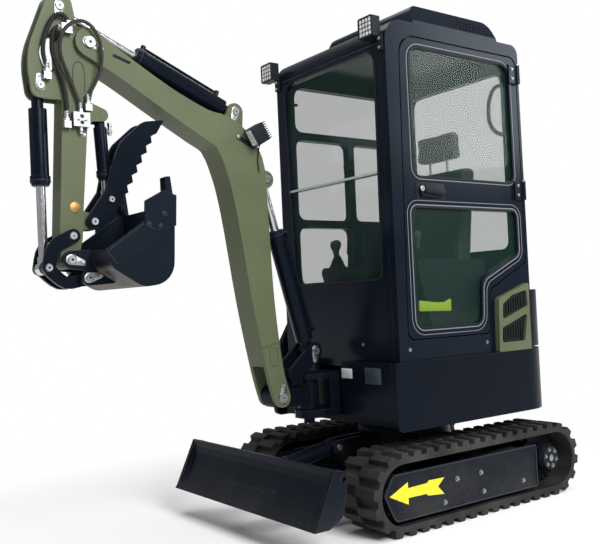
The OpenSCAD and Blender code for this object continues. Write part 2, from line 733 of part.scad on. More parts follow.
// Inside of the cab
seat_y = 20;
module seat_base() {
    color(trim) place() translate([-290, seat_y - 190, floor_z]) cube([400, 380, 170]);
}
module seat() {
    cushion_z = floor_z + 170 + seat_gap;
    back_z = cushion_z + 110 + seat_gap;
    back_top = 1620;
    color(trim) place() translate([0, seat_y, 0]) {
        translate([-270, -225, cushion_z]) cube([430, 450, 110]);
        slab(440) polygon(rounded([[-300, back_z, 30], [-200, back_z, 20], [-268, back_top, 40],
            [-372, back_top, 30]]));
        slab(260) polygon(rounded([[-372, back_top + 40, 20], [-280, back_top + 40, 20],
            [-286, back_top + 190, 30], [-362, back_top + 190, 30]]));
        for (y = [-60, 60]) translate([-322, y, back_top]) cylinder(h = 50, r = 7);
    }
}
module joystick(y) {
    top = floor_z + 350;
    translate([150, y, top - 2]) {
        cylinder(h = 60, r1 = 30, r2 = 14);
        translate([0, 0, 56]) cylinder(h = 70, r = 9);
        translate([0, 0, 120]) sphere(r = 24);
    }
}
module consoles() {
    color(trim) place() for (y = [seat_y - 290, seat_y + 290]) {
        translate([0, y, 0]) slab(110)
            polygon(rounded([[-240, floor_z, 0], [120, floor_z, 0], [215, floor_z + 330, 30],
                [200, floor_z + 350, 10], [-240, floor_z + 350, 30]]));
        joystick(y);
    }
}
module travel_levers() {
    color(trim) place() for (y = [seat_y - 60, seat_y + 60]) {
        translate([300, y, floor_z]) {
            translate([-60, -45, 0]) cube([100, 90, 14]);
            translate([0, 0, 4]) rotate([0, -6, 0]) {
                cylinder(h = 420, r = 9);
                translate([0, 0, 400]) cylinder(h = 120, r = 15);
            }
        }
    }
}

// Door and hood
door_windows = [
    [[268, 1503, 40], [268, 2076, 60], [-400, 2076, 60], [-400, 1503, 40]],
    [[288, 840, 40], [288, 1362, 30], [-404, 1362, 30], [-404, 1160, 30], [-136, 1042, 60],
        [-124, 840, 40]]];
module door() {
    handle_z = 1430;
    color(navy) place() union() {
        slab(wall_t, cab_left_y - wall_t / 2) difference() {
            polygon(door_plan(0));
            for (pane = door_windows) polygon(rounded(pane));
        }
        slab(14, cab_left_y + 6) polygon(rounded([[110, handle_z - 20, 8], [240, handle_z - 20, 8],
            [240, handle_z + 20, 8], [110, handle_z + 20, 8]]));
        for (z = [1420, 1990])
            translate([door_axis.x, door_axis.y, z]) {
                cylinder(h = 90, r = 12);
                translate([0, -14, 0]) cube([60, 14, 90]);
            }
    }
}
module door_glass() {
    color(tinted) place() slab(glass_t, cab_left_y - 14)
        for (pane = door_windows) polygon(rounded(pane));
}
function hood_plan(inset, front) =
    let (r = tail_r - inset,
        c = [-tail_x + tail_r, house_y - tail_r],
        from = acos((front - c.x) / r))
    concat(arc(c, r, from, 180 - from, 12), arc([c.x, -c.y], r, 180, 180 - from, 12));
module hood() {
    z0 = split_z + 12;
    sheet = 12;
    color(navy) place() difference() {
        union() {
            translate([0, 0, z0]) linear_extrude(hood_top - z0) difference() {
                polygon(hood_plan(0, hood_front_x));
                polygon(hood_plan(sheet, hood_front_x + 10));
            }
            translate([0, 0, hood_top - sheet]) linear_extrude(sheet)
                polygon(hood_plan(4, -cab_rear_x - 4));
            for (y = hinge_ys)
                translate([hood_axis.x, y, hood_axis.y]) rotate([90, 0, 0])
                    cylinder(h = knuckle_w, r = 10, center = true);
        }
        for (y = hinge_ys)
            translate([hood_axis.x, y, hood_axis.y]) rotate([90, 0, 0])
                cylinder(h = knuckle_w + 10, r = hinge_pin_r + fit, center = true);
    }
}

// Swing post
post_x = king_x + nose_r + 12;
post_nose = [[king_x - 30, boom_foot_z - 50, 6], at(boom_pin + [42, -44], 40), at(boom_pin + [42, 44], 40),
    at(boom_pin + [-50, 70], 20), at(boom_pin + [-56, 118], 10), [post_x, boom_foot_z + 118, 10],
    [post_x, boom_foot_z + 42, 12], [king_x - 30, boom_foot_z + 42, 6]];
module swing_post() {
    head_y = fork_y + 16;
    color(navy) place() difference() {
        union() {
            translate([king_x, 0, nose_low_top + pass])
                cylinder(h = nose_high_z - nose_low_top - 2 * pass, r = 46);
            translate([king_x, 0, deck_z + 8]) cylinder(h = nose_high_top - deck_z - 6, r = king_r);
            translate([king_x, 0, nose_high_top + seat_gap]) cylinder(h = head_t, r = king_r + 9);
            slab(2 * boss_y) polygon(rounded(post_nose));
            translate([post_x, -head_y, boom_foot_z + 48]) cube([60, 2 * head_y, 70]);
            both_slabs(fork_y, head_y)
                polygon(ribbon([at(boom_cyl_pin, 40), at(boom_pin + [-73, 94], 32)]));
            stub_pins(boom_cyl_pin, 30, eye_gap_y, fork_y + 1);
            cross_pin(boom_cyl_pin, link_pin_d / 2 + 4, head_y + head_t);
        }
        cross_pin(boom_pin, pin_d / 2 + fit, boss_y + 1);
    }
}

// Boom
boom_line = [at(boom_pin, 42), at(boom_pin + [34, 130], 43), at(boom_pin + [79, 428], 57),
    at(boom_pin + [115, 807], 80), at(boom_pin + [146, 1010], 98), at(boom_pin + [226, 1124], 80),
    at(boom_pin + [330, 1166], 60), at(boom_pin + [484, 1241], 50), at(boom_pin + [679, 1351], 48),
    at(arm_pin, 56)];
module boom() {
    foot_slot_r = 160;
    tip_slot_r = 108;
    color(olive) place() difference() {
        union() {
            slab(boom_w) polygon(ribbon(boom_line));
            slab(2 * lug_y) polygon(ribbon([at(boom_rod_pin, 38), at(boom_rod_pin + [100, 0], 56)]));
            slab(2 * lug_y) polygon(ribbon([at(arm_cyl_pin, 38), at(arm_cyl_pin + [30, -110], 60)]));
            stub_pins(boom_rod_pin, link_pin_d / 2 + 2, lug_y - 10, lug_y + head_t);
        }
        cross_pin(boom_pin, foot_slot_r, fork_y);
        cross_pin(arm_pin, tip_slot_r, idler_inner_y);
        cross_pin(boom_rod_pin, 132, eye_gap_y);
        cross_pin(arm_cyl_pin, 62, eye_gap_y);
    }
    color(chrome) place() {
        cross_pin(boom_pin, pin_d / 2, boom_w / 2 + head_t);
        cross_pin(arm_pin, pin_d / 2, boom_w / 2 + head_t);
        cross_pin(arm_cyl_pin, link_pin_d / 2 + 2, lug_y + head_t);
    }
}
module boom_lamp() {
    p = boom_pin + [100, 1130];
    color(trim) place() translate([p.x, boom_w / 2, p.y]) {
        translate([-20, 0, -14]) cube([40, 14, 28]);
        translate([-50, 14, -40]) cube([100, 56, 80]);
    }
}
module boom_barrel() {
    color(navy) place()
        barrel(boom_cyl_pin, boom_rod_pin, boom_cyl_d, 40, link_pin_d / 2 + 4, 50, 560, 6, -60);
}
module boom_rod() {
    color(chrome) place() rod(boom_cyl_pin, boom_rod_pin, 40, link_pin_d / 2 + 2, 640);
}

// Arm
arm_plan = [at(arm_pin + [-44, 60], 64), at(arm_pin + [-44, -72], 40),
    at(arm_pin + [8, -270], 60), at(arm_pin + [40, -650], 40), at(idler_pin + [-40, -10], 30),
    at(bucket_pin + [-31, -31], 30), at(bucket_pin + [30, -31], 30), at(idler_pin + [46, 8], 30),
    at(arm_pin + [106, -232], 60), at(arm_pin + [112, 60], 66)];
cheek_y = arm_y - 6;
cheek_plan = [at(arm_pin + [30, 20], 0), at(arm_pin + [70, -226], 0), at(bucket_cyl_pin + [30, -46], 36),
    at(arm_pin + [236, -70], 300), at(arm_rod_pin + [40, 44], 36), at(arm_rod_pin + [-44, 44], 34)];
cheek_window = [at(arm_pin + [96, 30], 8), at(arm_pin + [96, -70], 10), at(arm_pin + [134, -124], 12),
    at(arm_pin + [166, -120], 12), at(arm_pin + [188, -62], 60), at(arm_pin + [166, 16], 26)];
module arm() {
    color(olive) place() difference() {
        union() {
            slab(arm_w) polygon(rounded(arm_plan, 6));
            both_slabs(eye_gap_y, cheek_y) difference() {
                polygon(rounded(cheek_plan, 8));
                polygon(rounded(cheek_window));
            }
            slab(2 * jaw_inner_y - 4) polygon(ribbon([at(thumb_pin, 30), at(thumb_pin + [70, 10], 40)]));
            slab(2 * jaw_inner_y - 4)
                polygon(ribbon([at(thumb_cyl_pin, 26), at(thumb_cyl_pin + [80, 10], 44)]));
        }
        cross_pin(arm_pin, pin_d / 2 + fit, arm_y + 1);
        cross_pin(bucket_pin, link_pin_d / 2 + 2 + fit, arm_y + 1);
        cross_pin(thumb_pin, link_pin_d / 2 + fit, jaw_inner_y);
        cross_pin(arm_rod_pin, 127, eye_gap_y);
        cross_pin(thumb_cyl_pin, 46, eye_gap_y);
    }
    color(chrome) place() {
        cross_pin(bucket_cyl_pin, link_pin_d / 2, cheek_y + head_t);
        cross_pin(thumb_cyl_pin, link_pin_d / 2 - 2, jaw_inner_y - 1);
        cross_pin(idler_pin, link_pin_d / 2, idler_outer_y + 3);
        stub_pins(arm_rod_pin, link_pin_d / 2 + 2, eye_gap_y + 1, cheek_y + head_t);
    }
}

// Valve block and the small port blocks that the hoses end at, as [x, z] from the arm's pin
block_p = [44, -300];
low_port = [97, -322];
eye_port = [164, -146];
thumb_port = [13, -250];
head_low = [68, 22];
head_high = [108, 58];
module valve_block() {
    size = [64, 30, 54];
    port_d = 16;
    port = 26;
    color(chrome) place() translate([arm_pin.x, 0, arm_pin.y]) {
        translate([head_low.x, arm_y, head_low.y])
            cube([head_high.x - head_low.x, port, head_high.y - head_low.y]);
        translate([block_p.x - size.x / 2, arm_y, block_p.y - size.z / 2]) difference() {
            cube(size);
            for (z = [0.28, 0.72])
                translate([size.x / 2, size.y + 1, size.z * z]) rotate([90, 0, 0])
                    cylinder(h = 18, d = port_d);
        }
        for (p = [low_port, thumb_port])
            translate([p.x - port / 2, arm_y, p.y - port / 2]) cube(port);
        translate([eye_port.x - port / 2, cheek_y, eye_port.y - port / 2]) cube(port);
    }
}

// A hose of radius r along a line of points
function runs(line) =
    [for (i = [0:len(line) - 1]) unit(line[min(i + 1, len(line) - 1)] - line[max(i - 1, 0)])];
function carried(t, i, n) =
    i == len(t) ? [] : let (m = unit(n - (n * t[i]) * t[i])) concat([m], carried(t, i + 1, m));
module hose(pts, r, sides = 10) {
    line = sampled(pts, 4);
    t = runs(line);
    n = carried(t, 0, [0.1, 1, 0.2]);
    last = len(line) - 1;
    skin = [for (i = [0:last]) for (k = [0:sides - 1])
        line[i] + r * (cos(360 * k / sides) * n[i] + sin(360 * k / sides) * cross(t[i], n[i]))];
    walls = [for (i = [0:last - 1]) for (k = [0:sides - 1])
        let (a = i * sides + k, b = i * sides + (k + 1) % sides)
        [a, a + sides, b + sides, b]];
    ends = [[for (k = [0:sides - 1]) k], [for (k = [sides - 1:-1:0]) last * sides + k]];
    polyhedron(skin, concat(walls, ends), convexity = 8);
}
module arm_hoses() {
    r = 8;
    thin_r = 7;
    lie = arm_y + 10;
    over = boom_w / 2 + head_t + 10;
    gap = 2 * seat_gap;
    head_gap = 4 * seat_gap;
    port_top = 13 + gap;
    mid = arm_y + 13;
    to_eye = [[80, mid, head_high.y + head_gap], [80, mid, 66], [86, mid, 80], [100, mid, 91], [117, mid, 90],
        [134, mid - 1, 77], [150, mid - 2, 50], [163, lie, 16], [174, lie, -22], [176, lie - 1, -62],
        [169, lie - 2, -98], [eye_port.x, cheek_y + 13, -114],
        [eye_port.x, cheek_y + 13, eye_port.y + port_top]];
    to_block = [[head_high.x + head_gap, mid, 40], [116, mid, 40], [129, mid - 0.5, 34], [138, mid - 1.5, 18],
        [142, lie + 0.5, -10], [142, lie, -54], [128, lie, -101], [111, lie, -146], [99, lie + 1, -196],
        [95, lie + 2, -246], [low_port.x, mid, -282], [low_port.x, mid, low_port.y + port_top]];
    loop = [[block_p.x, arm_y + 15, block_p.y + 27 + gap], [block_p.x, arm_y + 15, -252],
        [52, lie + 5, -222], [70, lie + 6, -176], [92, lie + 9, -126], [112, lie + 13, -80],
        [119, lie + 16, -38], [112, lie + 22, 8], [92, over - 2, 42], [62, over + 2, 64], [26, over + 2, 68],
        [-6, over + 2, 50], [-27, over + 2, 16], [-36, over + 2, -26], [-36, over + 2, -72],
        [-28, over - 2, -116], [-12, lie + 18, -158], [4, lie + 8, -192],
        [thumb_port.x, mid, -216], [thumb_port.x, mid, thumb_port.y + port_top]];
    color(rubber) place() translate([arm_pin.x, 0, arm_pin.y]) {
        hose(to_eye, r);
        hose(to_block, r);
        hose(loop, thin_r);
    }
}
module arm_barrel() {
    color(navy) place() barrel(arm_cyl_pin, arm_rod_pin, arm_cyl_d, 36, link_pin_d / 2 + 2, 48, 478, 6);
}
module arm_rod() {
    color(chrome) place() rod(arm_cyl_pin, arm_rod_pin, 36, link_pin_d / 2 + 2, 400);
}

// Bucket and its linkage
module idler_links() {
    line = [at(idler_pin, 26), at((idler_pin + link_pin) / 2 + [24, 16], 27), at(link_pin, 24)];
    color(navy) place() {
        difference() {
            both_slabs(idler_inner_y, idler_outer_y) polygon(ribbon(line));
            cross_pin(idler_pin, link_pin_d / 2 + fit, idler_outer_y + 1);
        }
        stub_pins(link_pin, link_pin_d / 2, link_inner_y + 2, idler_outer_y + 4);
    }
}
module bucket_link() {
    line = [at(link_pin, 24), at((link_pin + dump_pin) / 2 + [4, -36], 22), at(dump_pin, 25)];
    color(navy) place() difference() {
        union() {
            both_slabs(link_inner_y, link_outer_y) polygon(ribbon(line));
            cross_pin(dump_pin, 25, ear_inner_y - pass);
        }
        cross_pin(link_pin, link_pin_d / 2 + fit, link_outer_y + 1);
    }
}
module bucket_barrel() {
    color(navy) place() barrel(bucket_cyl_pin, link_pin, bucket_cyl_d, 34, link_pin_d / 2, 82, 366);
}
module bucket_rod() {
    color(chrome) place() rod(bucket_cyl_pin, link_pin, 34, link_pin_d / 2, 335);
}
lip = bucket_pin + [-352, 196];
bucket_shell = [at(bucket_pin + [-70, 26], 6), at(bucket_pin + [-92, -40], 40),
    at(bucket_pin + [-212, -112], 80), at(bucket_pin + [-338, -96], 90), at(lip, 0), at(lip + [24, 6], 0)];
bucket_hollow = [at(bucket_pin + [-66, 46], 0), at(bucket_pin + [-103, -34], 34),
    at(bucket_pin + [-214, -101], 72), at(bucket_pin + [-327, -86], 80), at(lip + [12, 8], 0),
    at(lip + [24, 30], 0)];
module bucket() {
    tooth_w = 46;
    cutter_t = 12;
    side_bar_t = 6;
    tooth = [at(lip + [-4, -46], 0), at(lip + [16, 108], 3), at(lip + [36, 106], 3),
        at(lip + [34, -40], 0)];
    cutter = [at(lip + [4, -80], 4), at(lip + [-2, 35], 4), at(lip + [51, 52], 4), at(lip + [126, 11], 4),
        at(lip + [131, -82], 20), at(lip + [71, -101], 24)];
    side_bar = [at(bucket_pin + [-74, 20], 3), at(bucket_pin + [-112, -30], 10), at(lip + [20, -86], 3),
        at(lip + [30, -4], 3)];
    pitch = (bucket_w - tooth_w) / (tooth_count - 1);
    color(navy) place() {
        difference() {
            union() {
                slab(bucket_w) polygon(rounded(bucket_shell, 8));
                both_slabs(ear_inner_y, ear_outer_y)
                    polygon(ribbon([at(bucket_pin, 34), at(bucket_pin + [-130, -6], 44)]));
                both_slabs(ear_inner_y, ear_outer_y)
                    polygon(ribbon([at(dump_pin, 30), at(dump_pin + [-86, 16], 40)]));
                both_slabs(bucket_w / 2 - 1, bucket_w / 2 + cutter_t) polygon(rounded(cutter));
                both_slabs(bucket_w / 2 - 1, bucket_w / 2 + side_bar_t) polygon(rounded(side_bar));
                for (i = [0:tooth_count - 1])
                    slab(tooth_w, -bucket_w / 2 + tooth_w / 2 + i * pitch) polygon(rounded(tooth));
                stub_pins(dump_pin, link_pin_d / 2, ear_inner_y + 1, ear_outer_y + head_t);
            }
            slab(bucket_w - 2 * bucket_t) polygon(rounded(bucket_hollow, 8));
        }
        cross_pin(bucket_pin, link_pin_d / 2 + 2, ear_outer_y + head_t);
    }
}

// Thumb, drawn along its own line from the pin: u runs to the tip and v towards the bucket
thumb_a = 126.5;
function thumb_at(u, v, r) =
    at(thumb_pin + [u * cos(thumb_a) - v * sin(thumb_a), u * sin(thumb_a) + v * cos(thumb_a)], r);
thumb_teeth = 7;
function grip(u) = 55 * pow((thumb_l - u) / 400, 1.3);
module thumb() {
    first = 130;
    step = (thumb_l - 70 - first) / thumb_teeth;
    teeth = [for (i = [thumb_teeth:-1:0])
        let (u = first + i * step)
        each [thumb_at(u + 3, grip(u), 0), thumb_at(u - step / 2, grip(u) - 12, 0)]];
    outline = rounded(concat([thumb_at(-30, 14, 20), thumb_at(-24, -30, 24), thumb_at(130, -34, 20),
        thumb_at(205, -66, 30), thumb_at(320, -92, 80), thumb_at(450, -66, 60), thumb_at(thumb_l, 0, 4)],
        teeth, [thumb_at(62, 60, 16), thumb_at(24, 40, 20)]));
    color(navy) place() {
        both_slabs(jaw_inner_y, jaw_outer_y) polygon(outline);
        slab(2 * jaw_inner_y + 2) polygon(rounded([thumb_at(452, -60, 4), thumb_at(thumb_l - 12, -12, 4),
            thumb_at(thumb_l - 26, -6, 4), thumb_at(440, -44, 4)]));
        cross_pin(thumb_pin, link_pin_d / 2, jaw_outer_y + head_t);
        stub_pins(thumb_rod_pin, link_pin_d / 2 - 2, jaw_inner_y + 1, jaw_outer_y + head_t);
    }
}
module thumb_barrel() {
    color(navy) place() barrel(thumb_cyl_pin, thumb_rod_pin, thumb_cyl_d, 28, link_pin_d / 2 - 2, 44, 246);
}
module thumb_rod() {
    color(chrome) place() rod(thumb_cyl_pin, thumb_rod_pin, 28, link_pin_d / 2 - 2, 150);
}

carbody();
track_frame_left();
track_frame_right();
track_left();
track_right();
sprocket_left();
sprocket_right();
rollers_left();
rollers_right();
slew_ring();
blade();
blade_barrel();
blade_rod();
deck();
side_skirts();
front_cowl();
counterweight();
engine();
side_grilles();
grille_mesh();
cab_front();
cab_left();
cab_right();
cab_rear();
cab_roof();
cab_floor();
cab_glass();
roof_unit();
cab_lamps();
seat_base();
seat();
consoles();
travel_levers();
door();
door_glass();
hood();
swing_post();
boom();
boom_lamp();
boom_barrel();
boom_rod();
arm();
valve_block();
arm_hoses();
arm_barrel();
arm_rod();
bucket();
idler_links();
bucket_link();
bucket_barrel();
bucket_rod();
thumb();
thumb_barrel();
thumb_rod();
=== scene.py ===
"""Looks of a mini excavator with a cab, dozer blade, swing boom and thumb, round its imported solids."""
import math

import bmesh
import bpy
from mathutils import Matrix, Vector


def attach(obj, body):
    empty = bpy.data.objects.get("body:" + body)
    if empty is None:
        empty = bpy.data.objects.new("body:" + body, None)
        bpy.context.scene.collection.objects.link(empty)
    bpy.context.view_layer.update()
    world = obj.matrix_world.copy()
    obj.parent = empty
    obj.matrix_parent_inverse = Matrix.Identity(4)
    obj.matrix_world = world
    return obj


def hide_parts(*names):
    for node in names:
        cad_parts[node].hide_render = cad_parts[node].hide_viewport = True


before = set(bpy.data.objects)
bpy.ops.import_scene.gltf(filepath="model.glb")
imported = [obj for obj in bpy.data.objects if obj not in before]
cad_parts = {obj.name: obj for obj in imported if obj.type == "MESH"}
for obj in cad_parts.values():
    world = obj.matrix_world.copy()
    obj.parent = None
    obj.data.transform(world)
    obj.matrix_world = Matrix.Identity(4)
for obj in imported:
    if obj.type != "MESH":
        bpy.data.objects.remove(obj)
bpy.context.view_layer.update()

# The studio: the machine stands on a pale floor that fades to white under broad soft lamps.
# The camera stands before its left front corner, at the height of a person's waist.
camera_turn = math.radians(143.49)
camera_tip = math.radians(1.96)
camera_roll = math.radians(-2.58)
back = Vector((math.sin(camera_turn) * math.cos(camera_tip), -math.cos(camera_turn) * math.cos(camera_tip),
               -math.sin(camera_tip)))
level = (-back).cross(Vector((0, 0, 1))).normalized()
plumb = level.cross(-back)
right = math.cos(camera_roll) * level + math.sin(camera_roll) * plumb
above = math.cos(camera_roll) * plumb - math.sin(camera_roll) * level
camera = bpy.data.objects.new("camera", bpy.data.cameras.new("camera"))
camera.matrix_world = Matrix((right, above, back)).transposed().to_4x4()
camera.location = (2.231, 2.979, 0.983)
camera.data.lens = 49.12
camera.data.sensor_width = 36.0
bpy.context.collection.objects.link(camera)
bpy.context.scene.camera = camera
bpy.context.scene.view_settings.view_transform = "Standard"

for name, spot, aim, size, power in (
        ("key_lamp", (0.4, 5.2, 4.0), (-0.2, 0.0, 1.1), 2.6, 340),
        ("front_lamp", (5.0, -0.6, 3.4), (0.4, 0.0, 1.2), 2.6, 18),
        ("rear_lamp", (-4.2, 2.6, 3.4), (-0.6, 0.0, 1.0), 2.6, 120),
        ("top_lamp", (0.0, -0.6, 5.4), (0.0, 0.0, 1.0), 4.0, 130)):
    lamp = bpy.data.objects.new(name, bpy.data.lights.new(name, "AREA"))
    lamp.data.size = size
    lamp.data.energy = power
    lamp.location = spot
    lamp.rotation_euler = (Vector(aim) - Vector(spot)).to_track_quat("-Z", "Y").to_euler()
    bpy.context.collection.objects.link(lamp)


class Link:
    """A socket of a node tree: sums and products of such sockets add the Math nodes they need."""

    def __init__(self, tree, socket):
        self.tree = tree
        self.socket = socket

    def node(self, kind, values=(), settings=(), out=0):
        made = self.tree.nodes.new(kind)
        for name, value in dict(settings).items():
            setattr(made, name, value)
        for name, value in dict(values).items():
            if isinstance(value, Link):
                self.tree.links.new(value.socket, made.inputs[name])
            else:
                made.inputs[name].default_value = value
        return Link(self.tree, made.outputs[out])

    def math(self, operation, first, second=0.0):
        return self.node("ShaderNodeMath", {0: first, 1: second}, {"operation": operation})

    def __add__(self, other):
        return self.math("ADD", self, other)

    def __sub__(self, other):
        return self.math("SUBTRACT", self, other)

    def __mul__(self, other):
        return self.math("MULTIPLY", self, other)

    __radd__ = __add__
    __rmul__ = __mul__

    def __rsub__(self, other):
        return self.math("SUBTRACT", other, self)

    def step(self, low, high):
        return self.node("ShaderNodeMapRange", {"Value": self, "From Min": low, "From Max": high},
                         {"interpolation_type": "SMOOTHSTEP"})

    def blend(self, first, second):
        return self.node("ShaderNodeMix", {"Factor": self, 6: first, 7: second}, {"data_type": "RGBA"}, 2)

    def noise(self, scale, detail=3.0):
        return self.node("ShaderNodeTexNoise", {"Vector": self, "Scale": scale, "Detail": detail})

    def part(self, axis):
        return self.node("ShaderNodeSeparateXYZ", {0: self}, out="XYZ".index(axis))

    def to(self, node, socket):
        self.tree.links.new(self.socket, node.inputs[socket])


world = bpy.data.worlds.new("studio_air")
world.use_nodes = True
bpy.context.scene.world = world
air = world.node_tree
rays = air.nodes.new("ShaderNodeLightPath")
seen = Link(air, rays.outputs["Is Camera Ray"]) + Link(air, rays.outputs["Is Transmission Ray"])
(0.34 + seen.math("MINIMUM", seen, 1.0) * 0.66).to(air.nodes["Background"], "Strength")
air.nodes["Background"].inputs["Color"].default_value = (1.0, 1.0, 1.0, 1.0)

mesh = bmesh.new()
bmesh.ops.create_circle(mesh, cap_ends=True, radius=40.0, segments=64)
floor = bpy.data.objects.new("floor", bpy.data.meshes.new("floor"))
mesh.to_mesh(floor.data)
mesh.free()
bpy.context.collection.objects.link(floor)
pale = bpy.data.materials.new("pale_floor")
pale.use_nodes = True
tree = pale.node_tree
place = Link(tree, tree.nodes.new("ShaderNodeTexCoord").outputs["Object"])
reach = place.node("ShaderNodeVectorMath", {0: place}, {"operation": "LENGTH"}, 1)
tree.nodes["Principled BSDF"].inputs["Base Color"].default_value = (0.9, 0.9, 0.9, 1.0)
tree.nodes["Principled BSDF"].inputs["Roughness"].default_value = 0.9
tree.nodes["Principled BSDF"].inputs["Specular IOR Level"].default_value = 0.0
white = place.node("ShaderNodeEmission", {"Color": (1, 1, 1, 1), "Strength": 1.0})
matt = Link(tree, tree.nodes["Principled BSDF"].outputs[0])
faded = place.node("ShaderNodeMixShader", {0: reach.step(1.0, 2.2), 1: matt, 2: white})
faded.to(tree.nodes["Material Output"], "Surface")
floor.data.materials.append(pale)

# The undercarriage: a welded steel carbody between two track frames, painted blue-black.
# Dust lies on what is near the ground, and the paint is thin along the plates' edges.
navy = (0.0032, 0.005, 0.0095, 1.0)
bare_steel = (0.14, 0.15, 0.165, 1.0)
dry_dust = (0.075, 0.072, 0.066, 1.0)
slew_axis = -0.565


def new_material(name):
    made = bpy.data.materials.new(name)
    made.use_nodes = True
    tree = made.node_tree
    return made, tree.nodes["Principled BSDF"], Link(tree,
                                                     tree.nodes.new("ShaderNodeTexCoord").outputs["Object"])


def painted(name, colour, gloss, shine=0.09, worn=bare_steel, wear=0.5, dust_top=0.0, edge=0.0025,
            peel=0.04,
            tint=(0.62, 0.8, 1.0, 1.0), earth=None):
    """Sprayed paint: clouded colour, rubbed edges, orange peel, and dust or earth where it lies."""
    made, shader, place = new_material(name)
    cloud = place.noise(5.0, 5.0)
    fine = place.noise(90.0)
    soft = place.node("ShaderNodeBevel", {"Radius": edge}, {"samples": 4})
    true = place.node("ShaderNodeNewGeometry", out=1)
    along = place.node("ShaderNodeVectorMath", {0: soft, 1: true}, {"operation": "DOT_PRODUCT"}, 1)
    rub = ((1 - along) * 3.0 + fine - 0.5).step(0.42, 0.8) * wear
    tone = cloud.blend(tuple(c * 0.8 for c in colour[:3]) + (1.0,),
                       tuple(c * 1.2 for c in colour[:3]) + (1.0,))
    coat = rub.blend(tone, worn)
    rough = gloss + (cloud - 0.5) * 0.16 + rub * 0.15
    if dust_top:
        lying = (1 - place.part("Z").step(0.0, dust_top)) * (cloud + fine * 0.6).step(0.45, 1.1) * 0.4
        coat = lying.blend(coat, dry_dust)
        rough = rough + lying * 0.3
    if earth:
        down = (0 - true.part("Z")).step(0.25, 0.7)
        rubbed = down * (cloud * 1.2 + fine * 0.5).step(0.5, 0.95)
        coat = rubbed.blend(coat, earth)
        rough = rough + rubbed * 0.25
    coat.to(shader, "Base Color")
    rough.to(shader, "Roughness")
    shader.inputs["Specular IOR Level"].default_value = shine
    shader.inputs["Specular Tint"].default_value = tint
    bump = place.node("ShaderNodeBump", {"Strength": peel, "Distance": 0.001,
                                         "Height": place.noise(420.0, 1.0),
                                         "Normal": soft})
    bump.to(shader, "Normal")
    return made


def dress(material, *nodes):
    for node in nodes:
        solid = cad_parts[node]
        solid.data.materials.clear()
        solid.data.materials.append(material)


def add(mesh, part, where):
    """Sets a finished part at its place in a piece's mesh."""
    bmesh.ops.transform(part, matrix=where, verts=part.verts)
    bmesh.ops.recalc_face_normals(part, faces=part.faces)
    shape = bpy.data.meshes.new("shape")
    part.to_mesh(shape)
    part.free()
    mesh.from_mesh(shape)
    bpy.data.meshes.remove(shape)


def plate(mesh, corners, thick, where, ring=0.0, edge=0.0):
    """A flat piece cut to corners given as across, up and radius; ring leaves a border of that width."""
    part = bmesh.new()
    outline = [part.verts.new((across, up, 0.0)) for across, up, radius in corners]
    part.faces.new(outline)
    for vert, (across, up, radius) in zip(outline, corners):
        if radius:
            first, second = (side.other_vert(vert).co - vert.co for side in vert.link_edges)
            bmesh.ops.bevel(part, geom=[vert], offset=radius / math.tan(first.angle(second) / 2),
                            affect="VERTICES",
                            segments=6, profile=0.5, material=-1)
    if ring:
        inner = list(part.faces)
        bmesh.ops.inset_region(part, faces=inner, thickness=ring, use_boundary=True, use_even_offset=True)
        bmesh.ops.delete(part, geom=inner, context="FACES")
    raised = bmesh.ops.extrude_face_region(part, geom=list(part.faces))
    lifted = [item for item in raised["geom"] if isinstance(item, bmesh.types.BMVert)]
    bmesh.ops.translate(part, vec=(0.0, 0.0, thick), verts=lifted)
    if edge:
        part.normal_update()
        rim = [side for side in part.edges if all(vert in lifted for vert in side.verts)
               and side.calc_face_angle(0.0) > 1.0]
        bmesh.ops.bevel(part, geom=rim, offset=edge, affect="EDGES", segments=2, profile=0.5, material=-1)
    add(mesh, part, where)


def on_side(side, y):
    """Plane on the machine's left (1) or right (-1), with x across, z up and thickness outwards."""
    return Matrix(((1, 0, 0, 0), (0, 0, side, side * y), (0, 1, 0, 0), (0, 0, 0, 1)))


def set_at(point, axis):
    return Matrix.Translation(point) @ Vector(axis).to_track_quat("Z", "Y").to_matrix().to_4x4()


def turned(mesh, outline, where, steps=20):
    """A turned part: outline is radius and height along its axis."""
    part = bmesh.new()
    line = [part.verts.new((radius, 0.0, height)) for radius, height in outline]
    edges = [part.edges.new(pair) for pair in zip(line, line[1:])]
    bmesh.ops.spin(part, geom=line + edges, cent=(0, 0, 0), axis=(0, 0, 1), angle=2 * math.pi, steps=steps,
                   use_merge=True)
    bmesh.ops.remove_doubles(part, verts=part.verts, dist=0.0001)
    add(mesh, part, where)


def bolt(mesh, point, axis, across):
    """A hexagon bolt head on its washer."""
    where = set_at(point, axis)
    turned(mesh, ((0, 0), (across * 0.78, 0), (across * 0.78, across * 0.12), (across * 0.5, across * 0.14),
                  (0, across * 0.14)), where, 14)
    part = bmesh.new()
    bmesh.ops.create_cone(part, cap_ends=True, segments=6, radius1=across * 0.58, radius2=across * 0.58,
                          depth=across * 0.42, matrix=Matrix.Translation((0, 0, across * 0.33)))
    top = [side for side in part.edges if all(vert.co.z > across * 0.33 for vert in side.verts)]
    bmesh.ops.bevel(part, geom=top, offset=across * 0.07, affect="EDGES", segments=2, profile=0.5,
                    material=-1)
    add(mesh, part, where)


def piece(name, mesh, material, body):
    """A mesh drawn in millimetres from the slew axis, as a piece in metres that rides on a body."""
    bmesh.ops.scale(mesh, vec=(0.001, 0.001, 0.001), verts=mesh.verts)
    bmesh.ops.translate(mesh, vec=(slew_axis, 0.0, 0.0), verts=mesh.verts)
    made = bpy.data.objects.new(name, bpy.data.meshes.new(name))
    mesh.to_mesh(made.data)
    mesh.free()
    made.data.shade_smooth()
    made.data.set_sharp_from_angle(angle=math.radians(32))
    made.data.materials.append(material)
    bpy.context.collection.objects.link(made)
    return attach(made, body)


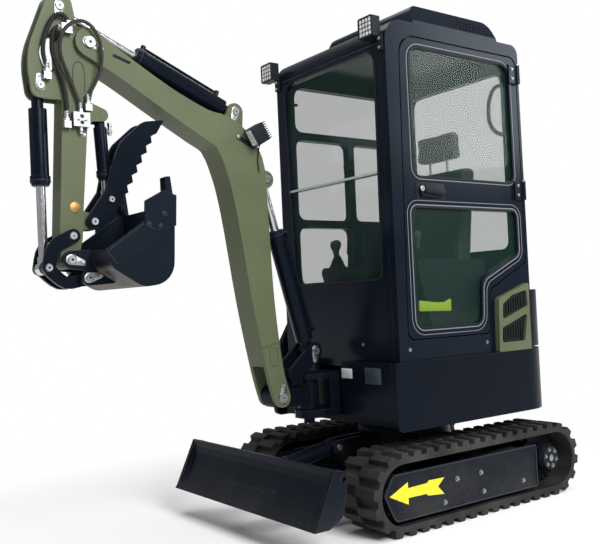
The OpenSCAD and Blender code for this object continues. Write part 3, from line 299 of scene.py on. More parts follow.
frame_paint = painted("frame_paint", navy, 0.36, dust_top=0.45)
dress(frame_paint, "carbody", "track_frame_left", "track_frame_right", "slew_ring", "sprocket_left",
      "sprocket_right",
      "rollers_left", "rollers_right")

made, shader, place = new_material("bright_steel")
drawn = place.noise(40.0)
drawn.blend((0.24, 0.25, 0.26, 1.0), (0.42, 0.43, 0.44, 1.0)).to(shader, "Base Color")
(0.26 + drawn * 0.22).to(shader, "Roughness")
shader.inputs["Metallic"].default_value = 1.0
place.node("ShaderNodeBump", {"Strength": 0.1, "Distance": 0.001,
                              "Height": place.noise(300.0, 2.0)}).to(shader, "Normal")
bright_steel = made

guard_y = 498
guard_outline = ((-374, 62, 10), (535, 66, 30), (593, 180, 20), (541, 258, 30), (-374, 256, 10))
mesh = bmesh.new()
for side in (1, -1):
    plate(mesh, guard_outline, 3, on_side(side, guard_y), ring=7, edge=1)
edge_paint = painted("edge_paint", (0.016, 0.021, 0.031, 1.0), 0.34, shine=0.14, wear=0.9, dust_top=0.4)
piece("guard_rims", mesh, edge_paint, "undercarriage")

mesh = bmesh.new()
for side in (1, -1):
    for x, z in ((168, 184), (16, 187), (-269, 105), (3, 103), (249, 98)):
        bolt(mesh, (x, side * guard_y, z), (0, side, 0), 15)
    for turn in range(6):
        spoke = math.radians(60 * turn + 15)
        bolt(mesh, (-510 + 40 * math.cos(spoke), side * 476, 170 + 40 * math.sin(spoke)), (0, side, 0), 13)
    turned(mesh, ((16, 0), (16, 5), (12, 7), (0, 7)), set_at((-510, side * 476, 170), (0, side, 0)))
piece("guard_bolts", mesh, bright_steel, "undercarriage")

# The travel arrows: plain yellow film cut to an arrow, stuck on each guard with its point to the front.
# The film is satin and a little scuffed.
made, shader, place = new_material("yellow_film")
scuffed = (place.noise(60.0, 4.0) + place.noise(9.0) * 0.5).step(0.75, 1.1)
scuffed.blend((0.72, 0.64, 0.012, 1.0), (0.46, 0.42, 0.04, 1.0)).to(shader, "Base Color")
(0.42 + scuffed * 0.3).to(shader, "Roughness")
yellow_film = made
arrow = ((563, 174, 0), (459, 218, 0), (459, 193, 0), (348, 196, 0), (340, 205, 0), (246, 203, 0),
         (286, 171, 0),
         (249, 134, 0), (345, 143, 0), (356, 152, 0), (459, 153, 0), (459, 126, 0))
mesh = bmesh.new()
for side in (1, -1):
    plate(mesh, arrow, 0.7, on_side(side, guard_y))
piece("travel_arrows", mesh, yellow_film, "undercarriage")

# The tracks: one rubber belt a side with two rows of moulded lugs, greyed by use.
# Dust stays in the roots of the lugs and their tips are rubbed.
made, shader, place = new_material("track_rubber")
grain = place.noise(240.0)
soft = place.node("ShaderNodeBevel", {"Radius": 0.005}, {"samples": 4})
true = place.node("ShaderNodeNewGeometry", out=1)
worn = 1 - place.node("ShaderNodeVectorMath", {0: soft, 1: true}, {"operation": "DOT_PRODUCT"}, 1)
dusty = (place.noise(7.0, 6.0) * 0.7 + grain * 0.5 + worn * 0.8).step(0.42, 1.0)
dusty.blend((0.011, 0.011, 0.0115, 1.0), (0.062, 0.059, 0.055, 1.0)).to(shader, "Base Color")
(0.6 + dusty * 0.25).to(shader, "Roughness")
shader.inputs["Specular IOR Level"].default_value = 0.22
place.node("ShaderNodeBump", {"Strength": 0.25, "Distance": 0.002, "Height": grain,
                              "Normal": soft}).to(shader, "Normal")
track_rubber = made
dress(track_rubber, "track_left", "track_right", "arm_hoses")

# The dozer blade: a rolled plate with end plates and two arms, rubbed along its lower edge.
# It turns on two pins in the carbody and is lifted by one cylinder.
blade_paint = painted("blade_paint", navy, 0.32, shine=0.12, wear=0.8, dust_top=0.3)
dress(blade_paint, "blade", "blade_barrel")


def pin_head(mesh, x, z, inner, outer, radius, sides=(1, -1), y=0):
    """The bright end of a pin that stands out of its lug, with a chamfer and a grease hole."""
    for side in sides:
        turned(mesh, ((radius + 1, inner), (radius + 1, outer - 1.6), (radius - 1.4, outer + 0.8),
                      (radius * 0.3, outer + 0.8), (radius * 0.22, outer - 1.4), (0, outer - 1.4)),
               set_at((x, y, z), (0, side, 0)), 28)


mesh = bmesh.new()
for y in (-170, 170):
    pin_head(mesh, 330, 150, 40.3, 49, 18, y=y)
pin_head(mesh, 447, 305, 43.3, 52, 14)
piece("blade_pin_heads", mesh, bright_steel, "undercarriage")
mesh = bmesh.new()
pin_head(mesh, 842, 238, 43.3, 52, 14)
piece("blade_rod_pin_heads", mesh, bright_steel, "blade")

# Piston rods: ground steel bars plated with hard chrome, wiped clean by their seals.
# Their sheen is a little uneven.
made, shader, place = new_material("chrome_rod")
drawn = place.noise(60.0, 2.0)
drawn.blend((0.5, 0.52, 0.56, 1.0), (0.72, 0.73, 0.77, 1.0)).to(shader, "Base Color")
(0.1 + drawn * 0.12).to(shader, "Roughness")
shader.inputs["Metallic"].default_value = 1.0
chrome_rod = made
dress(chrome_rod, "blade_rod", "boom_rod", "arm_rod", "bucket_rod", "thumb_rod")

# The house: pressed panels and a cast counterweight round the engine, in the same blue-black paint.
# Bright bolts hold the panels, and two blank plates are fixed to the front cowl.
house_paint = painted("house_paint", navy, 0.28, shine=0.08, wear=0.25)
dress(house_paint, "deck", "side_skirts", "front_cowl", "counterweight", "hood", "swing_post", "engine")
olive = (0.088, 0.107, 0.056, 1.0)
olive_paint = painted("olive_paint", olive, 0.42, shine=0.2, worn=(0.22, 0.245, 0.17, 1.0), wear=0.45,
                      tint=(1.0, 1.0, 1.0, 1.0))
dress(olive_paint, "side_grilles", "boom", "arm")

mesh = bmesh.new()
for x, z in ((344, 749), (-149, 750)):
    bolt(mesh, (x, 430, z), (0, 1, 0), 11)
bolt(mesh, (402, 196, 772), (1, 0, 0), 11)
for x in (-300, 60, 400):
    bolt(mesh, (x, -457, 440), (0, -1, 0), 11)
    bolt(mesh, (x, -457, 672), (0, -1, 0), 11)
piece("panel_bolts", mesh, bright_steel, "house")


def on_front(x):
    """Plane on the machine's front, with y across, z up and thickness forwards."""
    return Matrix(((0, 0, 1, x), (1, 0, 0, 0), (0, 1, 0, 0), (0, 0, 0, 1)))


def box(low, high, radius):
    """Corners of an upright rectangle between two points."""
    return ((low[0], low[1], radius), (high[0], low[1], radius), (high[0], high[1], radius),
            (low[0], high[1], radius))


made, shader, place = new_material("blank_foil")
brushed = place.noise(150.0)
brushed.blend((0.5, 0.53, 0.56, 1.0), (0.68, 0.7, 0.73, 1.0)).to(shader, "Base Color")
(0.3 + brushed * 0.25).to(shader, "Roughness")
cowl_face = 455
mesh = bmesh.new()
plate(mesh, box((98, 624), (172, 668), 3), 1.2, on_front(cowl_face), edge=0.4)
piece("pale_plate", mesh, made, "house")
mesh = bmesh.new()
plate(mesh, box((258, 606), (362, 676), 4), 1.2, on_front(cowl_face), edge=0.4)
blue_grey = painted("blue_grey_plate", (0.034, 0.045, 0.062, 1.0), 0.3, shine=0.3)
piece("dark_plate", mesh, blue_grey, "house")

# The cab: folded steel posts and panels, glossier than the house, with tinted safety glass.
# Black rubber holds the panes, and pale grey beads run round the door's windows; their pale grey is a
# painted highlight along the window rubbers.
cab_paint = painted("cab_paint", (0.0042, 0.0066, 0.0125, 1.0), 0.22, shine=0.13, wear=0.2)
dress(cab_paint, "cab_front", "cab_left", "cab_right", "cab_rear", "cab_roof", "roof_unit", "door")
made, shader, place = new_material("tinted_glass")
film = place.noise(3.0)
film.blend((0.012, 0.04, 0.031, 1.0), (0.018, 0.058, 0.045, 1.0)).to(shader, "Base Color")
(0.02 + film * 0.05).to(shader, "Roughness")
shader.inputs["Alpha"].default_value = 0.2
shader.inputs["Specular IOR Level"].default_value = 0.35
dress(made, "cab_glass", "door_glass")
trim_black = painted("trim_black", (0.009, 0.0095, 0.0105, 1.0), 0.5, shine=0.15,
                     worn=(0.04, 0.04, 0.04, 1.0), wear=0.2)
dress(trim_black, "cab_floor", "cab_lamps", "seat_base", "consoles", "travel_levers", "grille_mesh")


def grown(corners, by):
    """The outline moved outwards by a distance, its radii with it."""
    moved = []
    count = len(corners)
    turn = sum(corners[i - 1][0] * corners[i][1] - corners[i][0] * corners[i - 1][1] for i in range(count))
    for i, (x, z, radius) in enumerate(corners):
        here = Vector((x, z))
        before = (here - Vector(corners[i - 1][:2])).normalized()
        after = (Vector(corners[(i + 1) % count][:2]) - here).normalized()
        first, second = (Vector((way.y, -way.x)) * math.copysign(1.0, turn) for way in (before, after))
        shift = (first + second) * (by / (1 + first.dot(second)))
        moved.append((x + shift.x, z + shift.y,
                      max(radius + by, 1.0) if first.cross(second) * turn > 0 else radius))
    return moved


header_z = 2080
cab_face = 402
right_panes = (box((-400, 1840), (322, 2070), 45), box((-400, 1390), (-60, 1800), 32),
               box((-20, 1390), (322, 1800), 36), box((-20, 1000), (322, 1350), 40))
mesh = bmesh.new()
plate(mesh, grown(((-285, 1062, 30), (338, 1062, 30), (352, header_z - 22, 60), (-318, header_z - 22, 60)),
                  10), 3,
      on_front(cab_face), ring=10, edge=1)
for pane in right_panes:
    plate(mesh, grown(pane, 8), 3, on_side(-1, 384), ring=9, edge=1)
plate(mesh, grown(box((-300, 1190), (346, 2070), 50), 8), 3,
      Matrix(((0, 0, -1, -480), (1, 0, 0, 0), (0, 1, 0, 0), (0, 0, 0, 1))), ring=9, edge=1)
piece("window_rubbers", mesh, trim_black, "house")

made, shader, place = new_material("glass_edge")
clear = place.noise(25.0)
clear.blend((0.25, 0.36, 0.29, 1.0), (0.4, 0.5, 0.42, 1.0)).to(shader, "Base Color")
(0.12 + clear * 0.15).to(shader, "Roughness")
mesh = bmesh.new()
plate(mesh, box((-314, 1516.5), (352, 1527.5), 1), 1.5, on_front(cab_face), edge=0.5)
piece("screen_edge", mesh, made, "house")


def bent(name, lines, radius, material, body, closed=False):
    """Round bar or cord that passes smoothly through points given in millimetres from the slew axis."""
    curve = bpy.data.curves.new(name, "CURVE")
    curve.dimensions = "3D"
    curve.bevel_depth = radius / 1000
    curve.bevel_resolution = 3
    curve.resolution_u = 6
    curve.use_fill_caps = True
    for line in lines:
        spline = curve.splines.new("BEZIER")
        spline.bezier_points.add(len(line) - 1)
        spline.use_cyclic_u = closed
        for point, spot in zip(spline.bezier_points, line):
            point.co = Vector(spot) / 1000 + Vector((slew_axis, 0.0, 0.0))
            point.handle_left_type = point.handle_right_type = "AUTO"
    made = bpy.data.objects.new(name, curve)
    curve.materials.append(material)
    bpy.context.collection.objects.link(made)
    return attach(made, body)


bent("brow_bead", [[(402, -338, 2079), (402.5, 0, 2079), (402, 384, 2079)]], 3, edge_paint, "house")

# The work lamps: square black housings on brackets at the cab's brow, with a grid of small clear lenses.
# Bright bolts hold the brackets.
made, shader, place = new_material("lamp_lens")
cells = place.node("ShaderNodeTexVoronoi", {"Vector": place, "Scale": 150.0})
cells.step(0.2, 0.6).blend((0.86, 0.88, 0.9, 1.0), (0.5, 0.52, 0.55, 1.0)).to(shader, "Base Color")
(0.1 + cells * 0.2).to(shader, "Roughness")
lamp_lens = made
lamp_face = 454
lenses = bmesh.new()
rims = bmesh.new()
bolts = bmesh.new()
for y, z, bracket_y in ((-392, 2136, -366), (368, 2144, 408)):
    plate(rims, box((y - 46, z - 46), (y + 46, z + 46), 9), 5, on_front(lamp_face), ring=7, edge=1.5)
    plate(lenses, box((y - 40, z - 40), (y + 40, z + 40), 4), 1.5, on_front(lamp_face))
    for bar in (-19, 0, 19):
        plate(rims, box((y + bar - 0.8, z - 40), (y + bar + 0.8, z + 40), 0), 4, on_front(lamp_face))
        plate(rims, box((y - 40, z + bar - 0.8), (y + 40, z + bar + 0.8), 0), 4, on_front(lamp_face))
    for across in (-28.5, -9.5, 9.5, 28.5):
        for up in (-28.5, -9.5, 9.5, 28.5):
            turned(lenses, ((9, 0), (8.6, 1.6), (5.5, 3), (0, 3.6)),
                   set_at((455.4, y + across, z + up), (1, 0, 0)), 10)
    bolt(bolts, (416.3, bracket_y, z - 52), (1, 0, 0), 12)
    bolt(bolts, (416.3, bracket_y, 2052), (1, 0, 0), 10)
piece("lamp_lenses", lenses, lamp_lens, "house")
piece("lamp_rims", rims, trim_black, "house")
piece("lamp_bolts", bolts, bright_steel, "house")

# Inside the cab: a foam seat in black vinyl, control boots on the consoles, and a bright safety bar.
# A dark grab bar stands at the rear post, and small catches hold the right windows.
made, shader, place = new_material("seat_vinyl")
creased = place.noise(180.0, 4.0)
creased.blend((0.014, 0.016, 0.017, 1.0), (0.034, 0.038, 0.04, 1.0)).to(shader, "Base Color")
(0.5 + creased * 0.2).to(shader, "Roughness")
place.node("ShaderNodeBump", {"Strength": 0.3, "Distance": 0.0015, "Height": creased}).to(shader, "Normal")
seat_vinyl = made
groove_deep = 0.008
groove_half = 0.011


def pad(name, corners, low_y, high_y, swell, grooves, front):
    """A foam pad: its block is skinned, blown up as cloth, and sewn down along its grooves."""
    mesh = bmesh.new()
    plate(mesh, corners, high_y - low_y, on_side(1, low_y), edge=12)
    made = piece(name, mesh, seat_vinyl, "house")
    skin = made.modifiers.new("skin", "REMESH")
    skin.mode = "VOXEL"
    skin.voxel_size = 0.009
    shape = bpy.data.meshes.new_from_object(made.evaluated_get(bpy.context.evaluated_depsgraph_get()))
    made.modifiers.clear()
    made.data = shape
    cloth = made.modifiers.new("foam", "CLOTH")
    cloth.settings.use_pressure = True
    cloth.settings.uniform_pressure_force = 4.0
    cloth.settings.effector_weights.gravity = 0.0
    cloth.point_cache.frame_end = 20
    for step in range(1, 21):
        bpy.context.scene.frame_set(step)
    blown = made.evaluated_get(bpy.context.evaluated_depsgraph_get()).data
    ends = [vert.co.copy() for vert in blown.vertices]
    made.modifiers.clear()
    for vert, end in zip(made.data.vertices, ends):
        move = end - vert.co
        vert.co += move * min(1.0, swell / 1000 / max(move.length, 1e-6))
    bpy.context.scene.frame_set(1)
    for vert in made.data.vertices:
        facing = max(vert.normal.dot(front), 0.0)
        for groove in grooves:
            off = (vert.co.y - groove / 1000) / groove_half
            vert.co -= vert.normal * (groove_deep * facing * math.exp(-(off ** 2)))
    made.data.materials.clear()
    made.data.materials.append(seat_vinyl)
    made.data.shade_smooth()
    finish = made.modifiers.new("smooth", "SUBSURF")
    finish.levels = finish.render_levels = 1
    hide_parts("seat")
    return made


pad("seat_cushion", ((-262, 968, 18), (152, 968, 30), (152, 1062, 34), (-262, 1056, 18)), -197, 237, 8,
    (-95, 135),
    Vector((0.0, 0.0, 1.0)))
pad("seat_back", ((-296, 1078, 24), (-208, 1078, 20), (-274, 1612, 34), (-364, 1612, 28)), -192, 232, 8,
    (-90, 130),
    Vector((1.0, 0.0, 0.0)))
pad("seat_headrest", ((-366, 1668, 22), (-288, 1668, 22), (-292, 1804, 28), (-356, 1804, 28)), -102, 142, 6,
    (),
    Vector((1.0, 0.0, 0.0)))
mesh = bmesh.new()
for y in (-40, 80):
    turned(mesh, ((0, 0), (7, 0), (7, 72), (0, 72)), set_at((-322, y, 1606), (0, 0, 1)), 14)
piece("headrest_posts", mesh, bright_steel, "house")

boots = bmesh.new()
grips = bmesh.new()
for y in (-270, 310):
    turned(boots, ((44, 0), (44, 6), (36, 8), (39, 14), (31, 20), (34, 27), (26, 33), (28, 40), (20, 46),
                   (21, 52), (15, 58),
                   (11, 66), (11, 70)), set_at((150, y, 1140), (0, 0, 1)), 24)
    turned(grips, ((10, 66), (14, 72), (15, 96), (19, 112), (25.5, 122), (27, 140), (24, 152), (14, 159),
                   (0, 160)),
           set_at((150, y, 1118), (0.06, 0, 1)), 24)
for y in (-40, 80):
    turned(boots, ((24, 0), (24, 5), (17, 12), (19, 20), (13, 28), (14, 36), (10, 44)),
           set_at((300, y, 803), (-0.1, 0, 1)), 20)
piece("control_boots", boots, trim_black, "house")
piece("control_grips", grips, seat_vinyl, "house")

made, shader, place = new_material("lime_paint")
chalky = place.noise(30.0, 4.0)
chalky.blend((0.3, 0.52, 0.008, 1.0), (0.42, 0.62, 0.02, 1.0)).to(shader, "Base Color")
(0.35 + chalky * 0.2).to(shader, "Roughness")
mesh = bmesh.new()
plate(mesh, ((16, 902, 8), (219, 909, 8), (217, 958, 10), (120, 946, 6), (60, 944, 6), (14, 962, 8)), 8,
      on_side(1, 366),
      edge=2)
piece("safety_bar", mesh, made, "house")
bent("grab_bar", [[(-441, 356, 2002), (-420, 336, 1996), (-404, 312, 1950), (-398, 302, 1884),
                   (-404, 306, 1812),
                   (-420, 334, 1766), (-441, 356, 1756)]], 10, trim_black, "house")
mesh = bmesh.new()
for x, z in ((352, 1970), (2, 1674), (287, 1362)):
    turned(mesh, ((16, 0), (16, 8), (10, 14), (10, 26), (0, 28)), set_at((x, -346, z), (0, 1, 0)), 16)
    plate(mesh, box((x - 30, z - 7), (x + 10, z + 7), 6), 8, on_side(1, -324), edge=2)
piece("window_catches", mesh, trim_black, "house")

# The door: a welded frame with two panes, hung on the rear post, with a lever handle in a black recess.
# Pale grey beads run round both windows; their pale grey is a painted highlight along the rubbers.
door_windows = (((268, 1503, 40), (268, 2076, 60), (-400, 2076, 60), (-400, 1503, 40)),
                ((288, 840, 40), (288, 1362, 30), (-404, 1362, 30), (-404, 1160, 30), (-136, 1042, 60),
                 (-124, 840, 40)))
door_face = 430
mesh = bmesh.new()
for pane in door_windows:
    plate(mesh, grown(pane, 9), 2.5, on_side(1, door_face), ring=10, edge=0.8)
plate(mesh, box((84, 1396), (264, 1474), 14), 2, on_side(1, door_face), edge=0.8)
plate(mesh, ((96, 1418, 6), (222, 1428, 10), (222, 1462, 10), (96, 1446, 6)), 9, on_side(1, 443), edge=3)
piece("door_rubbers", mesh, trim_black, "door")

# The beads round the door's windows: their mottled pale grey is a painted highlight along the window
# rubbers.
made, shader, place = new_material("pale_bead_highlight")
bead_highlight_mottle = place.noise(70.0, 4.0)
bead_highlight_mottle.blend((0.1, 0.115, 0.13, 1.0), (0.2, 0.22, 0.24, 1.0)).to(shader, "Base Color")
(0.4 + bead_highlight_mottle * 0.25).to(shader, "Roughness")
pale_bead_highlight = made
mesh = bmesh.new()
plate(mesh, grown(door_windows[0], 16), 2, on_side(1, door_face), ring=4, edge=0.6)
plate(mesh, grown(door_windows[1], 16), 2, on_side(1, door_face), ring=5, edge=0.6)
plate(mesh, grown(door_windows[1], 34), 1.6, on_side(1, door_face), ring=3, edge=0.5)
piece("door_highlight_beads", mesh, pale_bead_highlight, "door")

mesh = bmesh.new()
turned(mesh, ((13, 0), (13, 5), (10, 7), (4, 7), (4, 5), (0, 5)), set_at((236, 443, 1446), (0, 1, 0)), 20)
for z in (1420, 1990):
    turned(mesh, ((0, 0), (13.5, 0), (13.5, 5), (9, 8), (0, 8)), set_at((-456, 443, z + 89), (0, 0, 1)), 18)
    for up in (22, 68):
        bolt(mesh, (-416, 443, z + up), (0, 1, 0), 10)
piece("door_fittings", mesh, bright_steel, "door")

# The swing post and boom: a cast post turns on the king pin, and the boom is a welded box with a cast foot.
# Each pin is kept by a bright teardrop flag with one bolt.


def flag(mesh, x, z, level, turn, length, big, side=1):
    """A teardrop keeper plate on a pin, with the bolt that stops it turning."""
    tipped = Matrix.Rotation(math.radians(turn), 4, "Z")
    where = on_side(side, level) @ Matrix.Translation((x, z, 0)) @ tipped
    plate(mesh, ((-big, -big, big * 0.96), (-big, big, big * 0.96), (length + 9, 10, 8),
                 (length + 9, -10, 8)), 4, where,
          edge=1)
    bolt(mesh, where @ Vector((length, 0, 4)), (0, side, 0), 11)


mesh = bmesh.new()
pin_head(mesh, 570, 753, 60.3, 69, 18)
for side in (1, -1):
    flag(mesh, 570, 753, 60, -84, 44, 25, side)
piece("post_pin_heads", mesh, bright_steel, "swing_post")

boom_side = 65
mesh = bmesh.new()
pin_head(mesh, 761, 564, 65.3, 74, 22)
pin_head(mesh, 1580, 1993, 65.3, 74, 22)
pin_head(mesh, 783, 1516, 43.3, 52, 16)
pin_head(mesh, 928, 1798, 43.3, 52, 16)
for side in (1, -1):
    flag(mesh, 761, 564, 65, 98, 50, 29, side)
    flag(mesh, 1580, 1993, 65, -155, 48, 28, side)
    flag(mesh, 783, 1516, 43, 10, 14, 25, side)
    flag(mesh, 928, 1798, 43, -70, 42, 24, side)
piece("boom_pin_heads", mesh, bright_steel, "boom")

mesh = bmesh.new()
for side in (1, -1):
    plate(mesh, box((767, 706), (819, 796), 25), 4, on_side(side, boom_side), ring=13, edge=1.5)
piece("foot_bosses", mesh, olive_paint, "boom")
weld = painted("weld_bead", (0.075, 0.092, 0.045, 1.0), 0.5, shine=0.2, worn=(0.16, 0.18, 0.12, 1.0),
               wear=0.8)
foot_lines = [[(764, side * 65, 806), (808, side * 65.6, 796), (858, side * 65, 786)] for side in (1, -1)]
bent("foot_welds", foot_lines, 3.2, weld, "boom")
tip_line = Matrix.Translation((1452, 1946, 0)) @ Matrix.Rotation(math.radians(17), 4, "Z")
mesh = bmesh.new()
for side in (1, -1):
    plate(mesh, ((-38, -6, 5.5), (38, -6, 5.5), (38, 6, 5.5), (-38, 6, 5.5)), 1,
          on_side(side, boom_side) @ tip_line)
piece("tip_slots", mesh, trim_black, "boom")

# The boom lamp: a finned black box on a strip bracket at the boom's bend, tipped to light the bucket.
# Its lens is a pale grid, and a thin wire runs from it along the boom.
lamp_where = Matrix.Translation((860, 106, 1694)) @ Matrix.Rotation(math.radians(30), 4, "Y")
mesh = bmesh.new()
part = bmesh.new()
bmesh.ops.create_cube(part, size=1.0, matrix=Matrix.Diagonal((66, 54, 80, 1)))
bmesh.ops.bevel(part, geom=list(part.edges), offset=4, affect="EDGES", segments=3, profile=0.5, material=-1)
add(mesh, part, lamp_where)
for fin in range(8):
    part = bmesh.new()
    fin_spot = Matrix.Translation((-38, 0, -35 + fin * 10))
    bmesh.ops.create_cube(part, size=1.0, matrix=fin_spot @ Matrix.Diagonal((16, 50, 3, 1)))
    add(mesh, part, lamp_where)
plate(mesh, box((-27, -40), (27, 40), 6), 6, lamp_where @ on_front(33), ring=4, edge=1.2)
plate(mesh, ((-64, -9, 8), (34, -9, 2), (34, 9, 2), (-64, 9, 8)), 4,
      on_side(1, 65.5) @ Matrix.Translation((884, 1660, 0)) @ Matrix.Rotation(math.radians(207), 4, "Z"),
      edge=1)
plate(mesh, box((-14, -20), (14, 20), 3), 15, on_side(1, boom_side) @ Matrix.Translation((858, 1692, 0)))
lamp_body = piece("boom_lamp_body", mesh, trim_black, "boom")
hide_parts("boom_lamp")
mesh = bmesh.new()
plate(mesh, box((-23, -36), (23, 36), 3), 1.5, lamp_where @ on_front(33))
for across in (-15, 0, 15):
    for up in (-27, -9, 9, 27):
        turned(mesh, ((7.2, 0), (6.8, 1.4), (4.4, 2.6), (0, 3.2)),
               lamp_where @ set_at((34.4, across, up), (1, 0, 0)), 10)
piece("boom_lamp_lens", mesh, lamp_lens, "boom")
mesh = bmesh.new()
bolt(mesh, (934, 69.5, 1686), (0, 1, 0), 12)
piece("boom_lamp_bolt", mesh, bright_steel, "boom")
bent("boom_lamp_wire", [[(842, 92, 1676), (836, 82, 1660), (834, 72, 1644), (836, 68, 1620),
                         (840, 67.6, 1590),
                         (838, 67.6, 1560), (834, 66, 1540)]], 2.6, trim_black, "boom")

# The arm: a welded box with a cast head, two side cheeks, a pressed arch and a plugged boss.
# Silver blocks carry the hose ends, and two hoses wear spiral guards.
dress(bright_steel, "valve_block")
arm_x, arm_z = 1580, 1993
arch = [(17, -187), (17, -110), (22, -88), (38, -74), (55, -86), (61, -110), (61, -176)]
bent("arm_arches", [[(arm_x + x, side * 44, arm_z + z) for x, z in arch] for side in (1, -1)], 2.4, weld,
     "arm")
mesh = bmesh.new()
pin_head(mesh, arm_x + 186, arm_z - 179, 38.3, 47, 14)
pin_head(mesh, arm_x + 104, arm_z + 130, 38.3, 47, 16)
pin_head(mesh, arm_x + 86, arm_z - 735, 58.2, 60.6, 14)
for side in (1, -1):
    flag(mesh, arm_x + 186, arm_z - 179, 38, 84, 34, 22, side)
    flag(mesh, arm_x + 104, arm_z + 130, 38, -80, 40, 24, side)
    bolt(mesh, (arm_x + 44 - 20, side * 44, arm_z - 352), (0, side, 0), 9)
piece("arm_pin_heads", mesh, bright_steel, "arm")

made, shader, place = new_material("brass_plug")
tarnish = place.noise(120.0)
tarnish.blend((0.42, 0.28, 0.1, 1.0), (0.2, 0.11, 0.05, 1.0)).to(shader, "Base Color")
(0.3 + tarnish * 0.3).to(shader, "Roughness")
shader.inputs["Metallic"].default_value = 1.0
mesh = bmesh.new()
for side in (1, -1):
    turned(mesh, ((21, 0), (21, 1.6), (17, 3), (0, 3)),
           set_at((arm_x + 72, side * 44, arm_z - 628), (0, side, 0)), 24)
piece("arm_plugs", mesh, made, "arm")

mesh = bmesh.new()
for x, y, z, hose_r, axis in ((80, 57, 58.2, 8, (0, 0, 1)), (108.2, 57, 40, 8, (1, 0, 0)),
                              (164, 51, -132.4, 8, (0, 0, 1)),
                              (97, 57, -308.4, 8, (0, 0, 1)), (44, 59, -272.4, 7, (0, 0, 1)),
                              (13, 57, -236.4, 7, (0, 0, 1))):
    where = set_at((arm_x + x, y, arm_z + z), axis)
    turned(mesh, ((hose_r, 0), (hose_r + 5, 0), (hose_r + 5, 11), (hose_r + 3, 13), (hose_r, 13)), where, 6)
    if z > 0:
        continue
    turned(mesh, ((hose_r, 12), (hose_r + 2.6, 13), (hose_r + 2.6, 18), (hose_r + 1.4, 20),
                  (hose_r + 2.6, 22), (hose_r + 2.6, 27),
                  (hose_r + 1.4, 29), (hose_r + 2.2, 31), (hose_r + 2.2, 36), (hose_r, 37)), where, 18)
for x, z in ((30, -300), (58, -300)):
    bolt(mesh, (arm_x + x, 74, arm_z + z), (0, 1, 0), 10)
turned(mesh, ((0, 0), (9, 0), (9, 16), (6, 18), (6, 26), (0, 26)),
       set_at((arm_x + 44, 59, arm_z - 327), (0, 0, -1)), 6)
piece("hose_fittings", mesh, bright_steel, "arm")


def spiral(name, route, around, pitch, wire):
    """Plastic strip wound round a hose that follows a route given in millimetres from the arm's pin."""
    spots = [Vector(spot) + Vector((arm_x, 0, arm_z)) for spot in route]
    line = []
    for i in range(len(spots) - 1):
        a, b, c, d = spots[max(i - 1, 0)], spots[i], spots[i + 1], spots[min(i + 2, len(spots) - 1)]
        for t in (0, 0.25, 0.5, 0.75):
            line.append(0.5 * (2 * b + (c - a) * t + (2 * a - 5 * b + 4 * c - d) * t ** 2
                               + (3 * b - a - 3 * c + d) * t ** 3))
    curve = bpy.data.curves.new(name, "CURVE")
    curve.dimensions = "3D"
    curve.bevel_depth = wire / 1000
    curve.bevel_resolution = 1
    wound = []
    out = Vector((0.1, 1.0, 0.2))
    turn = 0.0
    for here, after in zip(line, line[1:]):
        run = after - here
        ahead = run.normalized()
        out = (out - out.dot(ahead) * ahead).normalized()
        steps = max(1, math.ceil(run.length / pitch * 8))
        for step in range(steps):
            turn += 2 * math.pi * run.length / steps / pitch
            aside = math.cos(turn) * out + math.sin(turn) * ahead.cross(out)
            spot = here + run * (step / steps) + around * aside
            wound.append(spot / 1000 + Vector((slew_axis, 0.0, 0.0)))
    spline = curve.splines.new("POLY")
    spline.points.add(len(wound) - 1)
    for point, spot in zip(spline.points, wound):
        point.co = (*spot, 1.0)
    made = bpy.data.objects.new(name, curve)
    curve.materials.append(trim_black)
    bpy.context.collection.objects.link(made)
    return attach(made, "arm")


to_eye = [(80, 57, 72), (86, 57, 82), (100, 57, 91), (117, 57, 90), (134, 56, 77), (150, 55, 50),
          (163, 54, 16),
          (174, 54, -22), (176, 53, -62), (169, 52, -93)]
to_block = [(121, 57, 39), (129, 56.5, 34), (138, 55.5, 18), (142, 54.5, -10), (142, 54, -54),
            (128, 54, -101),
            (111, 54, -146), (99, 55, -196), (95, 56, -246), (97, 57, -270)]
spiral("eye_hose_guard", to_eye, 8.3, 9.0, 1.5)
spiral("block_hose_guard", to_block, 8.3, 9.0, 1.5)

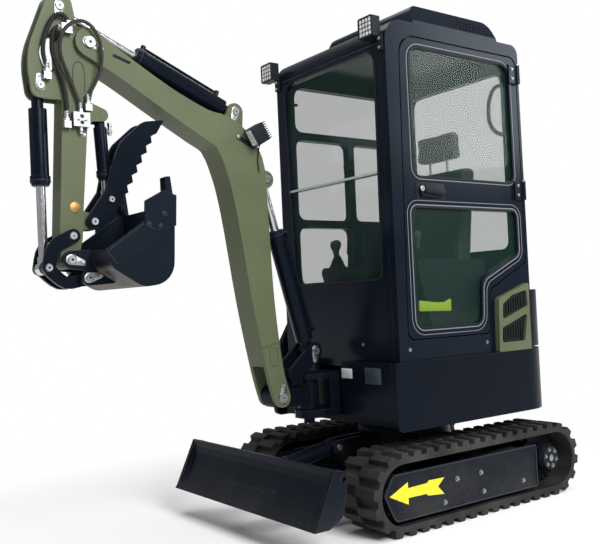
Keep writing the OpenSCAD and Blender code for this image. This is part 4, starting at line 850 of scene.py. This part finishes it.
# The cylinders: black tubes with a screwed gland at the rod's end, and a dark wiper ring.
# Hard pipes and elbows bring the oil to them.
gear_paint = painted("gear_paint", navy, 0.24, shine=0.12, wear=0.45)
dress(gear_paint, "boom_barrel", "arm_barrel", "bucket_barrel", "thumb_barrel", "idler_links",
      "bucket_link", "thumb")
for body, start, end, length, tube_r, rod_r in (
        ("boom_barrel", (570, 753), (783, 1516), 560, 39, 20),
                                                ("arm_barrel", (928, 1798), (1684, 2123), 478, 38, 18),
        ("bucket_barrel", (1766, 1814), (1762, 1141), 366, 33, 17),
                                                ("thumb_barrel", (1527, 1728), (1508, 1400), 246, 25, 14),
        ("blade_barrel", (447, 305), (842, 238), 290, 35, 18)):
    p, q = Vector((start[0], 0, start[1])), Vector((end[0], 0, end[1]))
    ahead = (q - p).normalized()
    mesh = bmesh.new()
    turned(mesh, ((rod_r + 0.6, 0), (tube_r - 3, 0), (tube_r - 3, 3), (rod_r + 4, 5), (rod_r + 0.6, 5)),
           set_at(p + ahead * length, ahead), 32)
    turned(mesh, ((tube_r + 4.2, 0), (tube_r + 5, 1), (tube_r + 5, 4), (tube_r + 4.2, 5)),
           set_at(p + ahead * (length - 20), ahead), 32)
    piece(body + "_rings", mesh, edge_paint, body)

mesh = bmesh.new()
for x, z in ((1501, 1672), (1493, 1524)):
    where = set_at((x, 0, z), (-1, 0, 0))
    turned(mesh, ((0, 0), (12, 0), (12, 10), (9, 12), (0, 12)), where, 6)
    turned(mesh, ((0, 10), (9, 10), (9, 24), (0, 25)), where, 16)
    turned(mesh, ((0, -14), (8, -14), (8, 20), (10, 20), (10, 34), (0, 34)),
           set_at((x - 17, 0, z), (0, 0, 1)), 6)
piece("thumb_elbows", mesh, bright_steel, "thumb_barrel")

# The bucket, linkage and thumb: plate parts in the same dark paint, rubbed by earth underneath.
# Bolted side cutters, bright pin heads and flags.
bucket_paint = painted("bucket_paint", (0.0045, 0.0072, 0.0125, 1.0), 0.36, shine=0.12, wear=0.8,
                       earth=(0.15, 0.13, 0.115, 1.0))
dress(bucket_paint, "bucket")
bucket_x, bucket_z = 1683, 1168
mesh = bmesh.new()
pin_head(mesh, bucket_x, bucket_z, 76.3, 85, 16)
pin_head(mesh, 1618, 1101, 76.3, 85, 14)
for side in (1, -1):
    flag(mesh, bucket_x, bucket_z, 76, 195, 44, 24, side)
    flag(mesh, 1618, 1101, 76, 168, 44, 23, side)
piece("bucket_pin_heads", mesh, bright_steel, "bucket")
mesh = bmesh.new()
for side in (1, -1):
    for x, z in ((1447, 1287), (1401, 1282), (1383, 1327)):
        bolt(mesh, (x, side * 237, z), (0, side, 0), 13)
piece("cutter_bolts", mesh, edge_paint, "bucket")

mesh = bmesh.new()
pin_head(mesh, 1762, 1141, 58.2, 61.4, 14)
piece("link_pin_heads", mesh, bright_steel, "idler_links")
mesh = bmesh.new()
pin_head(mesh, 1579, 1313, 48.3, 57, 14)
pin_head(mesh, 1508, 1400, 48.3, 57, 12)
piece("thumb_pin_heads", mesh, bright_steel, "thumb")
